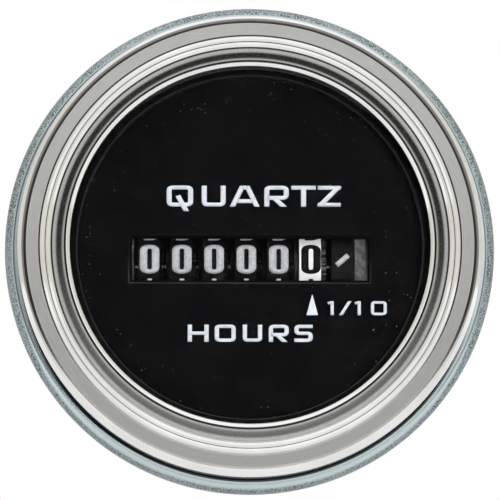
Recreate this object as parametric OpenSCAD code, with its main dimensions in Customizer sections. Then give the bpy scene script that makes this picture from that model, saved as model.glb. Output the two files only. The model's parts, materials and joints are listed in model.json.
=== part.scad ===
// Round panel hour meter: a drawn steel case with a rolled rim, a stepped bright bezel,
// a clear lens, and a six-wheel counter stepped by a small electromagnet.
// Modelled with x to the right, y up and z towards the reader, then stood upright.

/* [Case] */
// Diameter of the hole that the panel is cut to
panel_hole_d = 52.4; // [52:0.1:56]
// Radial room between the case and the panel hole
panel_clearance = 0.3; // [0.1:0.05:0.5]
// Depth of the case behind the panel
case_depth = 34; // [33:0.5:45]
// Thickness of the case sheet
case_wall = 0.8; // [0.6:0.05:1]
// Outside radius of the case's back corner
case_corner_r = 2.5; // [1.5:0.1:4]
// Width of the flange outside the case
flange_w = 3.45; // [3.2:0.05:5]
// Roundness of the rolled rim at the front
hem_front_r = 1.1; // [1.05:0.01:1.2]
// Roundness of the rolled rim at the panel
hem_back_r = 0.5; // [0.3:0.05:0.7]
// Width of the line that the closing roller leaves on the rim
crimp_line_w = 0.14; // [0.08:0.02:0.2]

/* [Bezel] */
// Thickness of the bezel sheet
bezel_wall = 0.7; // [0.6:0.05:0.9]
// Width of the foot that the rolled rim holds
bezel_foot_w = 0.8; // [0.6:0.05:1]
// Room between the bezel and the rolled rim
seam_clearance = 0.1; // [0.05:0.01:0.15]
// Outside radius of the bezel's front edge
rim_r = 0.9; // [0.75:0.05:1]
// Width of the flat land
land_w = 1.5; // [1:0.1:2]
// Width of each of the two beads
bead_w = 0.66; // [0.5:0.02:0.8]
// Height of the beads above the land
bead_h = 0.2; // [0.1:0.02:0.3]
// Width of the hollow between the beads and the lip
cove_w = 1.45; // [1.2:0.05:1.8]
// Depth of the hollow
cove_depth = 0.2; // [0.1:0.02:0.3]
// Width of the lip at the opening
lip_w = 0.52; // [0.4:0.02:0.7]
// How far the lip is turned down behind the bezel sheet
lip_drop = 0.45; // [0.3:0.05:0.5]
// Width of the bare strip between two steps
groove_w = 0.14; // [0.08:0.02:0.2]
// Diameter of the round edge that presses a line into that strip
line_tool_d = 0.22; // [0.16:0.01:0.26]

/* [Lens and dial] */
// Thickness of the ring under the bezel foot
case_gasket_t = 0.6; // [0.4:0.05:0.8]
// Thickness of the ring under the bezel front
lens_gasket_t = 0.6; // [0.55:0.05:0.9]
// Thickness of the lens
lens_t = 1.8; // [1.2:0.1:2.5]
// Width of the ground edge of the lens
lens_edge = 0.2; // [0.1:0.05:0.4]
// Height of the black ring between lens and dial
spacer_h = 1.7; // [1.2:0.1:2.5]
// How far the black ring shows inside the bezel
spacer_reveal = 0.8; // [0.3:0.1:1.5]
// Thickness of the dial plate
dial_t = 0.8; // [0.5:0.1:1]
// Thickness of the carrier ring under the dial
carrier_t = 1; // [0.8:0.1:1.5]
// How far the carrier ring reaches inside the black ring
carrier_reveal = 2.6; // [2:0.1:2.9]
// Radial room around the stack inside the bezel
stack_clearance = 0.2; // [0.1:0.05:0.3]
// Width of the counter window
window_w = 28.9; // [27:0.1:29.4]
// Height of the counter window
window_h = 5.8; // [5:0.1:7]
// Width of the sloping edge round the counter window
window_edge = 0.36; // [0.2:0.02:0.6]

/* [Counter] */
// How far the counter lies below the centre of the dial
counter_drop = 1.3; // [1:0.1:2.5]
// Distance of the middle wheel from the centre of the dial, to the right
counter_shift = -0.49; // [-0.8:0.01:0]
// Distance from one wheel to the next
digit_pitch = 3.87; // [3.8:0.01:3.95]
// Width of a wheel's number band
band_w = 2.6; // [2.5:0.01:2.65]
// Diameter of a number wheel
wheel_d = 13.2; // [13:0.1:13.4]
// Room between the wheels and the back of the dial
wheel_gap = 0.3; // [0.2:0.05:0.6]
// Thickness of a wheel's rim
wheel_rim_t = 0.8; // [0.6:0.05:1]
// Thickness of a wheel's web
wheel_web_t = 1; // [0.8:0.05:1.2]
// Diameter of a wheel's hub
hub_d = 4; // [3:0.1:5]
// How far the gears of a wheel reach into its hub
hub_bite = 0.1; // [0.05:0.05:0.2]
// Diameter of the run shaft
run_shaft_d = 1.2; // [1:0.05:1.3]
// Radial room of a running bore
running_clearance = 0.05; // [0.03:0.01:0.08]
// Radial room of a pressed bore
press_clearance = 0.01; // [0.005:0.005:0.02]

/* [Carry gears] */
// Distance from the run shaft to the carry shaft
carry_spacing = 7.3; // [7.2:0.02:7.4]
// Diameter of the carry shaft
carry_shaft_d = 0.8; // [0.7:0.05:0.9]
// Thickness of the gear and of the carry disc on a wheel
carry_gear_t = 0.5; // [0.4:0.02:0.52]
// Outside radius of a carry pinion's short teeth
short_tooth_r = 1.95; // [1.85:0.01:2.05]
// Room that the two carry teeth keep from the short teeth
carry_clearance = 0.15; // [0.1:0.01:0.2]
// Height of the two carry teeth
carry_tooth_h = 0.7; // [0.5:0.05:0.9]
// Width of the two carry teeth
carry_tooth_w = 0.8; // [0.6:0.05:0.9]
// Side room of a carry pinion between two bands
pinion_side_gap = 0.08; // [0.05:0.01:0.1]

/* [Drive] */
// Distance from the run shaft to the reduction arbor
drive_spacing = 7.6; // [7.5:0.02:7.7]
// Diameter of the reduction arbor
arbor_d = 0.8; // [0.7:0.05:0.9]
// Thickness of the reduction wheel
reduction_wheel_t = 0.7; // [0.5:0.05:0.8]
// Thickness of the gear on the tenths wheel
tenths_gear_t = 0.6; // [0.5:0.05:0.7]
// Diameter of the star wheel
star_d = 8; // [7:0.1:8.2]
// Depth of the star wheel's teeth
star_tooth_h = 0.6; // [0.4:0.05:0.8]
// Thickness of the star wheel
star_t = 0.6; // [0.5:0.05:0.7]
// Side room between neighbouring wheels of the drive
drive_side_gap = 0.3; // [0.25:0.01:0.35]

/* [Movement frame] */
// Thickness of the side plates
plate_t = 1.2; // [1:0.1:1.4]
// Side room between the last wheels and the side plates
plate_gap = 0.5; // [0.4:0.05:0.6]
// Height of the side plates above the run shaft
plate_up = 13; // [12.6:0.1:13.4]
// Height of the left plate below the run shaft
plate_down = 10.8; // [10.4:0.1:11.4]
// Height of the right plate below the run shaft
right_plate_down = 15.6; // [15:0.1:16]
// Depth of the side plates behind the run shaft
plate_behind = 14.6; // [14.4:0.1:15.4]
// Cut corners of the side plates
plate_corner = 2; // [1:0.1:2.4]
// Diameter of the four posts
post_d = 2.6; // [2.3:0.1:2.8]
// Height of the upper front post above the run shaft
front_post_up = 10.9; // [10.7:0.1:11.2]
// Distance of the upper front post before the run shaft
front_post_ahead = 3.3; // [3:0.1:3.6]
// Height of the upper rear post above the run shaft
rear_post_up = 8; // [7:0.1:9]
// Distance of the upper rear post behind the run shaft
rear_post_behind = 12.6; // [12.4:0.1:12.9]
// Depth of the lower rear post below the run shaft
low_post_down = 6.6; // [6.4:0.1:6.8]
// Distance of the lower rear post behind the run shaft
low_post_behind = 10.7; // [10.5:0.1:11]
// Depth of the lower front post below the run shaft
foot_post_down = 8.4; // [8.3:0.1:8.6]
// Distance of the lower front post before the run shaft
foot_post_ahead = 3.8; // [3.6:0.1:4]
// Diameter of the small screws
screw_d = 1.2; // [1:0.05:1.3]
// Diameter of the small screws' heads
screw_head_d = 2.4; // [2:0.1:2.6]
// Height of the small screws' heads
screw_head_h = 0.8; // [0.6:0.05:1]
// Length of a small screw in its post
screw_grip = 3; // [2:0.1:4]
// Radial room of a screw in its hole
screw_clearance = 0.03; // [0.02:0.01:0.05]
// Length of the feet that carry the plates
foot_len = 6.3; // [5.5:0.1:6.6]
// Width of the feet
foot_w = 6; // [4:0.1:8]
// Thickness of the feet
foot_t = 1.5; // [1.2:0.1:2]
// Side room between the end block and the run wheel
end_block_gap = 0.2; // [0.15:0.05:0.3]
// Thickness of the end block
end_block_t = 1; // [0.8:0.1:1.2]
// How far the end block reaches past the window, up and down
end_block_extra_h = 0.6; // [0.4:0.1:1]

/* [Electromagnet] */
// Distance of the armature pin below the run shaft
armature_drop = 8; // [7.9:0.02:8.1]
// Thickness of the armature
armature_t = 0.8; // [0.6:0.05:0.9]
// Width of the armature's tail
tail_w = 1.8; // [1.4:0.1:2]
// Length of the armature's tail below its pin
tail_len = 4.5; // [4:0.1:5]
// Diameter of the armature's hub
armature_hub_d = 2.6; // [2.2:0.1:2.8]
// Width of the two pallets
pallet_w = 0.9; // [0.7:0.05:1]
// How far the pallets reach up beside the star wheel
pallet_reach = 0.1; // [0.05:0.05:0.15]
// Air gap between the tail and the pole plate
pole_gap = 0.75; // [0.7:0.05:0.9]
// Diameter of the armature pin
armature_pin_d = 0.8; // [0.7:0.05:0.9]
// Thickness of the leaf spring
spring_t = 0.15; // [0.1:0.05:0.25]
// Depth of the coil below the run shaft
core_drop = 12.7; // [12.5:0.1:12.9]
// Distance of the coil behind the run shaft
core_behind = 5.4; // [5.2:0.1:5.6]
// Diameter of the iron core
core_d = 2.6; // [2.2:0.1:2.8]
// Outside diameter of the winding
winding_d = 6.8; // [5.5:0.1:7]
// Outside diameter of the bobbin's cheeks
bobbin_d = 7.4; // [7.1:0.1:7.6]
// Thickness of the bobbin's cheeks
cheek_t = 0.8; // [0.6:0.1:1.2]
// Thickness of the bobbin's tube
bobbin_wall = 0.5; // [0.4:0.05:0.7]
// Length of the bobbin
bobbin_len = 19; // [15:0.5:20]
// Thickness of the iron strips
iron_t = 1.2; // [1:0.05:1.25]
// Width of the yoke's strip beside the core
strip_w = 3; // [2.6:0.1:3.2]
// Diameter of the coil's lead pins
coil_lead_d = 0.6; // [0.4:0.05:0.8]

/* [Circuit board] */
// Thickness of the circuit board
board_t = 1.6; // [1.2:0.1:2]
// Room between the board and the back of the case
board_gap = 5.2; // [4.8:0.1:6]
// Radial room between the board and the case
board_clearance = 0.7; // [0.4:0.1:1.2]
// Diameter of the four legs that carry the board
leg_d = 4; // [3.4:0.1:4.4]
// Side room between the legs and the heads of the frame screws
leg_gap = 0.7; // [0.5:0.05:0.9]
// Distance of the legs from the middle, up and down
leg_y = 11; // [10.5:0.1:11.4]
// Diameter of the board screws
board_screw_d = 2; // [1.6:0.1:2.2]
// Diameter of the board screws' heads
board_head_d = 3.6; // [3:0.1:4]
// Height of the board screws' heads
board_head_h = 1.2; // [0.8:0.1:1.6]
// Length of a board screw in its leg
board_screw_grip = 5; // [4:0.1:7]
// Length of the divider chip
chip_len = 9.6; // [8:0.1:11]
// Width of the divider chip
chip_w = 6.4; // [5:0.1:7]
// Height of the divider chip
chip_h = 3.2; // [2.5:0.1:4]
// Thickness of the chip's legs
chip_leg_t = 0.5; // [0.3:0.05:0.6]
// Height of the chip above the middle of the board
chip_up = 7; // [6:0.5:8]
// Length of the crystal can
crystal_len = 10.2; // [9:0.1:11]
// Width of the crystal can
crystal_w = 3.8; // [3.4:0.1:4.2]
// Height of the crystal can
crystal_h = 3.6; // [3:0.1:5]
// Width of the rim at the foot of the crystal can
crystal_rim = 0.5; // [0.3:0.05:0.6]
// Distance of the crystal from the middle, to the left
crystal_left = 8; // [7:0.5:8]
// Diameter of the capacitor
capacitor_d = 6.3; // [5:0.1:7]
// Height of the capacitor
capacitor_h = 7; // [5:0.1:8]
// Radius of the bead rolled into the capacitor
capacitor_bead = 0.5; // [0.3:0.05:0.6]
// Distance of the capacitor from the middle, to the right
capacitor_right = 10; // [9:0.5:10.5]
// Height of the crystal and the capacitor above the middle of the board
top_row_up = 15; // [14.5:0.1:15.5]

/* [Terminals] */
// Distance between the two terminals
terminal_spacing = 19; // [17:0.5:22]
// Diameter of the terminal studs
terminal_d = 4.17; // [3.8:0.01:4.4]
// Length of a terminal stud behind the case
terminal_len = 14; // [13:0.5:18]
// Thickness of a terminal's head inside the case
terminal_head_t = 1.5; // [1:0.1:1.8]
// Diameter of a terminal's head inside the case
terminal_head_d = 7.1; // [6:0.1:8]
// Diameter of a terminal's tail through the board
terminal_tail_d = 2; // [1.6:0.1:2.4]
// Thickness of the insulators' collars
insulator_t = 1.4; // [1:0.1:1.6]
// Diameter of the insulators' collars
insulator_d = 9.4; // [9:0.1:11]
// Wall of the insulating sleeve in the case hole
sleeve_wall = 0.9; // [0.6:0.05:1.2]
// Thickness of the flat washers
washer_t = 0.8; // [0.6:0.1:1]
// Diameter of the flat washers
washer_d = 8.6; // [8:0.1:9]
// Thickness of the spring washers
lock_washer_t = 1; // [0.8:0.05:1.2]
// Diameter of the spring washers
lock_washer_d = 7.4; // [7:0.1:8]
// Width of the slit in a spring washer
lock_slit_w = 0.6; // [0.4:0.05:0.8]
// Width across the flats of a terminal nut
nut_af = 8.7; // [8:0.1:9]
// Height of a terminal nut
nut_h = 3.2; // [2.5:0.1:3.6]

/* [Mounting studs] */
// Distance between the two mounting studs
mounting_spacing = 30; // [26:0.5:34]
// Diameter of the mounting studs
mounting_d = 4.17; // [3.8:0.01:4.8]
// Length of the mounting studs behind the case
mounting_len = 14; // [10:0.5:20]
// Diameter of the studs' weld collars
collar_d = 6.8; // [6:0.1:8]
// Thickness of the studs' weld collars
collar_t = 0.8; // [0.5:0.1:1.2]
// Bevel at the tips of the studs
stud_bevel = 0.5; // [0.2:0.1:0.8]

/* [Hidden] */
ROUND = 96;
FINE = 48;

// Radii about the dial's axis
case_r = panel_hole_d / 2 - panel_clearance;
case_ri = case_r - case_wall;
flange_r = case_r + flange_w;
hem_ri = flange_r - case_wall;
foot_r = hem_ri - seam_clearance;
bezel_r = foot_r - bezel_foot_w;
bezel_ri = bezel_r - bezel_wall;
lip_hem_r = bezel_r + seam_clearance;
stack_r = bezel_ri - stack_clearance;
land_r = bezel_r - rim_r - groove_w;
bead_r = land_r - land_w - groove_w;
bead_mid_r = bead_r - bead_w;
bead_in_r = bead_mid_r - bead_w;
cove_r = bead_in_r - groove_w;
cove_in_r = cove_r - cove_w;
lip_r = cove_in_r - groove_w;
opening_r = lip_r - lip_w;
lens_gasket_ri = lip_r + groove_w;
spacer_ri = opening_r - spacer_reveal;
carrier_ri = spacer_ri - carrier_reveal;

// Levels along the dial's axis, from the panel face at zero
back_z = -case_depth;
inside_z = back_z + case_wall;
foot_z = case_wall + case_gasket_t;
foot_top = foot_z + bezel_wall;
hem_top = foot_top + case_wall;
carrier_z = case_wall;
dial_z = carrier_z + carrier_t;
spacer_z = dial_z + dial_t;
lens_z = spacer_z + spacer_h;
lens_gasket_z = lens_z + lens_t;
bezel_under = lens_gasket_z + lens_gasket_t;
bezel_face = bezel_under + bezel_wall;
board_z = inside_z + board_gap;
board_front = board_z + board_t;
washer_z = back_z - insulator_t;
lock_washer_z = washer_z - washer_t;
nut_z = lock_washer_z - lock_washer_t;

// The counter's axis and the places of its wheels
wheel_r = wheel_d / 2;
hub_r = hub_d / 2;
counter_y = -counter_drop;
counter_z = dial_z - wheel_gap - wheel_r;
MIDDLE_WHEEL = 3;
TENTHS = 5;
RUN = 6;
function wheel_x(k) = counter_shift + (k - MIDDLE_WHEEL) * digit_pitch;
function polar(d, t) = [counter_y + d * cos(t), counter_z + d * sin(t)];

// Angle from one number to the next on a wheel
NUMBER_STEP = 36;

// Tooth numbers and the gears' modules
CARRY_GEAR = 20;
CARRY_PINION = 8;
REDUCTION_WHEEL = 40;
PINION = 8;
TENTHS_GEAR = 32;
STAR = 30;
carry_module = 2 * carry_spacing / (CARRY_GEAR + CARRY_PINION);
first_module = 2 * drive_spacing / (REDUCTION_WHEEL + PINION);
second_module = 2 * drive_spacing / (TENTHS_GEAR + PINION);
carry_tooth_r = carry_spacing - short_tooth_r - carry_clearance;
carry_disc_r = carry_tooth_r - carry_tooth_h;

// Directions from the run shaft: 0 is up, 90 is towards the dial, -90 is back
CARRY_AT = -90;
DRIVE_AT = -30;
carry_axis = polar(carry_spacing, CARRY_AT);
drive_axis = polar(drive_spacing, DRIVE_AT);

// Levels along the counter's axis
left_in = wheel_x(0) - band_w / 2 - plate_gap;
left_out = left_in - plate_t;
run_band_x = wheel_x(RUN) + band_w / 2;
run_pinion_x = run_band_x + drive_side_gap / 2;
reduction_wheel_x = run_band_x + drive_side_gap;
run_pinion_w = reduction_wheel_t + drive_side_gap;
star_x = reduction_wheel_x + reduction_wheel_t + drive_side_gap;
right_in = star_x + star_t + plate_gap;
right_out = right_in + plate_t;
tenths_gear_x = wheel_x(TENTHS) + band_w / 2;
reduction_pinion_x = tenths_gear_x + pinion_side_gap;
reduction_pinion_w = digit_pitch - band_w - 2 * pinion_side_gap;

// Posts of the movement frame, up and forward from the run shaft
POSTS = [[front_post_up, front_post_ahead], [rear_post_up, -rear_post_behind],
    [-low_post_down, -low_post_behind], [-foot_post_down, foot_post_ahead]];

// The electromagnet
armature_x = star_x + star_t / 2 - armature_t / 2;
armature_y = counter_y - armature_drop;
pallet_len = armature_drop - star_d / 2 + pallet_reach;
PALLET_ANGLE = 28;
core_y = counter_y - core_drop;
core_z = counter_z - core_behind;
pole_x = right_in - iron_t;
bobbin_x = pole_x - bobbin_len;
yoke_x = bobbin_x - iron_t;
pole_face = counter_z - tail_w / 2 - pole_gap;
coil_lead_x = [bobbin_x + cheek_t / 2, bobbin_x + bobbin_len - cheek_t / 2];

// Screw places on the carrier and the board
foot_screw_x = [left_out - foot_len / 2, right_out + foot_len / 2];
leg_x = right_out + screw_head_h + leg_gap + leg_d / 2;
LEGS = [for (sx = [-1, 1], sy = [-1, 1]) [sx * leg_x, sy * leg_y]];
TERMINALS = [[-terminal_spacing / 2, 0], [terminal_spacing / 2, 0]];
MOUNTINGS = [[0, -mounting_spacing / 2], [0, mounting_spacing / 2]];
sleeve_r = terminal_d / 2 + sleeve_wall;
terminal_bore = terminal_d + 2 * press_clearance;
screw_hole = screw_d + 2 * screw_clearance;
board_hole = board_screw_d + 2 * screw_clearance;

// Stands the meter upright with its dial towards the reader
module upright() { rotate([90, 0, 0]) children(); }

// Turns a section, drawn as radius and level, about the dial's axis
module turned() { rotate_extrude($fn = ROUND) children(); }

// A rectangle between two radii and two levels
module band(r0, r1, z0, z1) { translate([r0, z0]) square([r1 - r0, z1 - z0]); }

// Lays a shape out on the counter's axis: drawn as up and forward, raised to the right
module across(x) { translate([x, 0, 0]) rotate([90, 0, 90]) children(); }

// A rod along the counter's axis
module rod(at, x0, x1, d) { across(x0) translate(at) cylinder(d = d, h = x1 - x0, $fn = FINE); }

// A rod along the dial's axis
module post(at, z0, z1, d) { translate([at[0], at[1], z0]) cylinder(d = d, h = z1 - z0, $fn = FINE); }

// Half the angle of an involute tooth at a radius
PRESSURE = 20;
function involute(a) = tan(a) * 180 / PI - a;
function base_r(n, m) = n * m / 2 * cos(PRESSURE);
function tooth_half(r, n, m, share) =
    share * 180 / n + involute(PRESSURE) - involute(r > base_r(n, m) ? acos(base_r(n, m) / r) : 0);

// Outline of a gear with a tooth at angle zero, through four levels of each flank in modules
TOOTH_SHARE = 0.42;
FLANK = [-1.15, -0.25, 0.3, 0.85];
function tooth_radii(n, m) = [for (level = FLANK) (n / 2 + level) * m];
function on_circle(r, a) = [r * cos(a), r * sin(a)];
function gear_outline(n, m) = let (radii = tooth_radii(n, m)) [
    for (i = [0 : n - 1]) each [
        for (r = radii) on_circle(r, i * 360 / n - tooth_half(r, n, m, TOOTH_SHARE)),
        for (j = [len(radii) - 1 : -1 : 0])
            on_circle(radii[j], i * 360 / n + tooth_half(radii[j], n, m, TOOTH_SHARE))
    ]
];
module gear(n, m, t, turn) { linear_extrude(t) rotate(turn) polygon(gear_outline(n, m)); }

// A tooth of the driving gear points along its line of centres, and a gap of the driven one meets it
function meeting_gap(at, n) = at + 180 + 180 / n;

// A can's half section with one round corner
module can_section(r, z0, z1, corner) {
    band(0, r - corner, z0, z1);
    band(0, r, z0 + corner, z1);
    translate([r - corner, z0 + corner]) circle(corner, $fn = FINE);
}

// The rolled rim's outside
module hem_section() {
    band(case_ri, flange_r - hem_front_r, 0, hem_top);
    band(case_ri, flange_r - hem_back_r, 0, hem_top - hem_front_r);
    band(case_ri, flange_r, hem_back_r, hem_top - hem_front_r);
    translate([flange_r - hem_front_r, hem_top - hem_front_r]) circle(hem_front_r, $fn = FINE);
    translate([flange_r - hem_back_r, hem_back_r]) circle(hem_back_r, $fn = FINE);
}

// Drawn steel can with the flange and the rolled rim
module case_can() {
    color("lightsteelblue") upright() difference() {
        turned() difference() {
            union() {
                can_section(case_r, back_z, case_wall, case_corner_r);
                hem_section();
            }
            can_section(case_ri, inside_z, hem_top + 1, case_corner_r - case_wall);
            band(0, hem_ri, case_wall, foot_top);
            band(0, lip_hem_r, case_wall, hem_top + 1);
            translate([flange_r - hem_front_r, hem_top]) circle(d = crimp_line_w, $fn = FINE);
        }
        for (at = TERMINALS)
            post(at, back_z - 1, inside_z + 1, 2 * (sleeve_r + seam_clearance));
    }
}

// A stud that points backwards, with a bevelled tip
module stud(at, z0, len, d) {
    post(at, z0 - len + stud_bevel, z0, d);
    translate([at[0], at[1], z0 - len]) cylinder(d1 = d - 2 * stud_bevel, d2 = d, h = stud_bevel, $fn = FINE);
}

// Two studs welded to the back of the case
module mounting_studs() {
    color("silver") upright() for (at = MOUNTINGS) union() {
        post(at, back_z - collar_t, back_z, collar_d);
        stud(at, back_z, mounting_len, mounting_d);
    }
}

// Rubber ring between the case flange and the bezel foot
module case_gasket() {
    color("dimgray") upright() turned() band(bezel_ri, foot_r, case_wall, foot_z);
}

// A round bead of a given width and height on the bezel face
module bead_section(r, w, h) {
    bead_circle = (w * w / 4 + h * h) / (2 * h);
    intersection() {
        translate([r, bezel_face + h - bead_circle]) circle(bead_circle, $fn = FINE);
        band(r - w / 2, r + w / 2, bezel_under, bezel_face + h);
    }
}

// A pressed line on the bezel face
module line_section(r) { translate([r - groove_w / 2, bezel_face]) circle(d = line_tool_d, $fn = FINE); }

// Bright bezel pressed from sheet: rim, land, two beads, hollow and lip
module bezel() {
    cove_circle = (cove_w * cove_w / 4 + cove_depth * cove_depth) / (2 * cove_depth);
    lip_mid = opening_r + lip_w / 2;
    color("gainsboro") upright() turned() difference() {
        union() {
            band(bezel_ri, foot_r, foot_z, foot_top);
            band(bezel_ri, bezel_r, foot_z, bezel_face - rim_r);
            band(opening_r, bezel_r - rim_r, bezel_under, bezel_face);
            translate([bezel_r - rim_r, bezel_face - rim_r]) circle(rim_r, $fn = FINE);
            bead_section(bead_r - bead_w / 2, bead_w, bead_h);
            bead_section(bead_mid_r - bead_w / 2, bead_w, bead_h);
            translate([lip_mid, bezel_face]) circle(d = lip_w, $fn = FINE);
            band(opening_r, lip_r, bezel_under - lip_drop, bezel_face);
        }
        translate([(cove_r + cove_in_r) / 2, bezel_face + cove_circle - cove_depth])
            circle(cove_circle, $fn = FINE);
        line_section(bezel_r - rim_r);
        line_section(land_r - land_w);
        line_section(bead_in_r);
        line_section(cove_in_r);
        band(bezel_ri - rim_r - stack_clearance, bezel_ri, foot_z, bezel_under);
    }
}

// Rubber ring between the lens and the bezel
module lens_gasket() {
    color("dimgray") upright() turned() band(lens_gasket_ri, stack_r, lens_gasket_z, bezel_under);
}

// Clear lens with ground edges
module lens() {
    color("azure", 0.3) upright() turned() polygon([[0, lens_z], [stack_r - lens_edge, lens_z],
        [stack_r, lens_z + lens_edge], [stack_r, lens_gasket_z - lens_edge],
        [stack_r - lens_edge, lens_gasket_z], [0, lens_gasket_z]]);
}

// Black ring that holds the lens off the dial
module spacer_ring() {
    color("black") upright() turned() band(spacer_ri, stack_r, spacer_z, lens_z);
}

// Black dial plate with the counter window
module dial_plate() {
    opening_w = window_w - 2 * window_edge;
    opening_h = window_h - 2 * window_edge;
    slope = 4 * window_edge;
    color("black") upright() difference() {
        turned() band(0, stack_r, dial_z, spacer_z);
        translate([-opening_w / 2, counter_y - opening_h / 2, dial_z - 1])
            cube([opening_w, opening_h, dial_t + 2]);
        translate([0, counter_y, spacer_z - window_edge])
            linear_extrude(2 * window_edge, scale = [slope / opening_w + 1, slope / opening_h + 1])
                square([opening_w, opening_h], center = true);
    }
}

// Moulded carrier: the ring under the dial and the four legs of the board
module carrier() {
    color("darkslategray") upright() difference() {
        union() {
            turned() band(carrier_ri, stack_r, carrier_z, dial_z);
            for (at = LEGS) post(at, board_front, dial_z, leg_d);
        }
        for (at = LEGS)
            post(at, board_front - 1, board_front + board_screw_grip + screw_clearance, board_hole);
        for (x = foot_screw_x)
            post([x, counter_y], carrier_z - 1, dial_z + 1, screw_hole);
    }
}

// Outline of a side plate with cut corners, drawn as up and forward
module plate_outline(down) {
    y0 = counter_y - down;
    y1 = counter_y + plate_up;
    z0 = counter_z - plate_behind;
    c = plate_corner;
    polygon([[y0 + c, z0], [y1 - c, z0], [y1, z0 + c], [y1, carrier_z], [y0, carrier_z], [y0, z0 + c]]);
}

// Holes that both side plates share
module plate_holes(x) {
    rod([counter_y, counter_z], x - 1, x + plate_t + 1, run_shaft_d + 2 * running_clearance);
    rod(drive_axis, x - 1, x + plate_t + 1, arbor_d + 2 * running_clearance);
    rod(carry_axis, x - 1, x + plate_t + 1, carry_shaft_d + 2 * press_clearance);
    for (p = POSTS) rod(post_at(p), x - 1, x + plate_t + 1, screw_hole);
}
function post_at(p) = [counter_y + p[0], counter_z + p[1]];

// A foot that lies against the carrier ring
module plate_foot(x, screw_x) {
    difference() {
        translate([x, counter_y - foot_w / 2, carrier_z - foot_t]) cube([foot_len + plate_t, foot_w, foot_t]);
        post([screw_x, counter_y], carrier_z - foot_t - 1, carrier_z + 1, screw_hole);
    }
}

// Left plate of the movement frame, bent to a foot at the dial
module left_plate() {
    color("silver") upright() difference() {
        union() {
            across(left_out) linear_extrude(plate_t) plate_outline(plate_down);
            plate_foot(left_out - foot_len, foot_screw_x[0]);
        }
        plate_holes(left_out);
    }
}

// Right plate of the movement frame, with the armature pin and the pole plate on it
module right_plate() {
    color("silver") upright() difference() {
        union() {
            across(right_in) linear_extrude(plate_t) plate_outline(right_plate_down);
            plate_foot(right_in, foot_screw_x[1]);
        }
        plate_holes(right_in);
        rod([armature_y, counter_z], right_in - 1, right_out + 1, armature_pin_d + 2 * press_clearance);
    }
}

// Dark moulded block that fills the window's end, cemented to the right plate
module counter_end_block() {
    height = window_h + 2 * end_block_extra_h;
    x = run_band_x + end_block_gap;
    color("dimgray") upright() translate([x, counter_y - height / 2, carrier_z - end_block_t])
        cube([right_in - x, height, end_block_t]);
}

// Four posts between the side plates, tapped at both ends
module frame_posts() {
    depth = screw_grip + 2 * screw_clearance;
    color("silver") upright() for (p = POSTS) difference() {
        rod(post_at(p), left_in, right_in, post_d);
        rod(post_at(p), left_in - 1, left_in + depth, screw_hole);
        rod(post_at(p), right_in - depth, right_in + 1, screw_hole);
    }
}

// A slotted screw that points along its own axis, with its head below level zero
module small_screw(grip) {
    slot_w = screw_d / 4;
    difference() {
        union() {
            translate([0, 0, -screw_head_h]) cylinder(d = screw_head_d, h = screw_head_h, $fn = FINE);
            cylinder(d = screw_d, h = grip, $fn = FINE);
        }
        translate([-screw_head_d, -slot_w / 2, -screw_head_h - 1])
            cube([2 * screw_head_d, slot_w, 1 + screw_head_h / 2]);
    }
}

// Eight screws that hold the side plates to the posts
module frame_screws() {
    color("silver") upright() for (p = POSTS) {
        across(left_out) translate(post_at(p)) small_screw(plate_t + screw_grip);
        across(right_out) translate(post_at(p)) mirror([0, 0, 1]) small_screw(plate_t + screw_grip);
    }
}

// Two screws that hold the feet to the carrier
module foot_screws() {
    color("silver") upright() for (x = foot_screw_x)
        translate([x, counter_y, carrier_z - foot_t]) small_screw(foot_t + carrier_t - screw_clearance);
}

// Turning shaft through the whole counter, with the first pinion cut on it
module run_shaft() {
    color("gainsboro") upright() union() {
        rod([counter_y, counter_z], left_out, right_out, run_shaft_d);
        across(run_pinion_x) translate([counter_y, counter_z])
            gear(PINION, first_module, run_pinion_w, DRIVE_AT);
    }
}

// Rim, web and hub of a counter wheel about its own middle
module wheel_blank(bore, hub_left, hub_right) {
    rotate_extrude($fn = ROUND) {
        band(wheel_r - wheel_rim_t, wheel_r, -band_w / 2, band_w / 2);
        band(bore / 2, wheel_r - wheel_rim_t / 2, -wheel_web_t / 2, wheel_web_t / 2);
        band(bore / 2, hub_r, hub_left, hub_right);
    }
}

// Carry disc with the two teeth that pass the carry on
module carry_disc() {
    translate([0, 0, -band_w / 2 - carry_gear_t]) difference() {
        union() {
            cylinder(r = carry_disc_r, h = carry_gear_t, $fn = ROUND);
            for (side = [-1, 1])
                rotate(CARRY_AT + NUMBER_STEP + side * 180 / CARRY_GEAR)
                    translate([carry_disc_r - carry_tooth_h, -carry_tooth_w / 2, 0])
                        cube([2 * carry_tooth_h, carry_tooth_w, carry_gear_t]);
        }
        translate([0, 0, -1]) cylinder(r = hub_r - hub_bite, h = carry_gear_t + 2, $fn = FINE);
    }
}

// A number wheel: its gear is on the right, its carry disc on the left
module number_wheel(k, right_teeth, right_module, right_t, right_turn) {
    bore = run_shaft_d + 2 * running_clearance;
    has_disc = k > 0;
    hub_left = -band_w / 2 - (has_disc ? carry_gear_t : 0);
    tint = k == TENTHS ? "white" : "black";
    color(tint) upright() across(wheel_x(k)) translate([counter_y, counter_z]) union() {
        wheel_blank(bore, hub_left, band_w / 2 + right_t);
        if (has_disc) carry_disc();
        translate([0, 0, band_w / 2]) difference() {
            gear(right_teeth, right_module, right_t, right_turn);
            translate([0, 0, -1]) cylinder(r = hub_r - hub_bite, h = right_t + 2, $fn = FINE);
        }
    }
}
module carried_wheel(k) { number_wheel(k, CARRY_GEAR, carry_module, carry_gear_t, CARRY_AT); }
module ten_thousands_wheel() { carried_wheel(0); }
module thousands_wheel() { carried_wheel(1); }
module hundreds_wheel() { carried_wheel(2); }
module tens_wheel() { carried_wheel(3); }
module units_wheel() { carried_wheel(4); }
module tenths_wheel() {
    number_wheel(TENTHS, TENTHS_GEAR, second_module, tenths_gear_t, DRIVE_AT);
}

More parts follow.
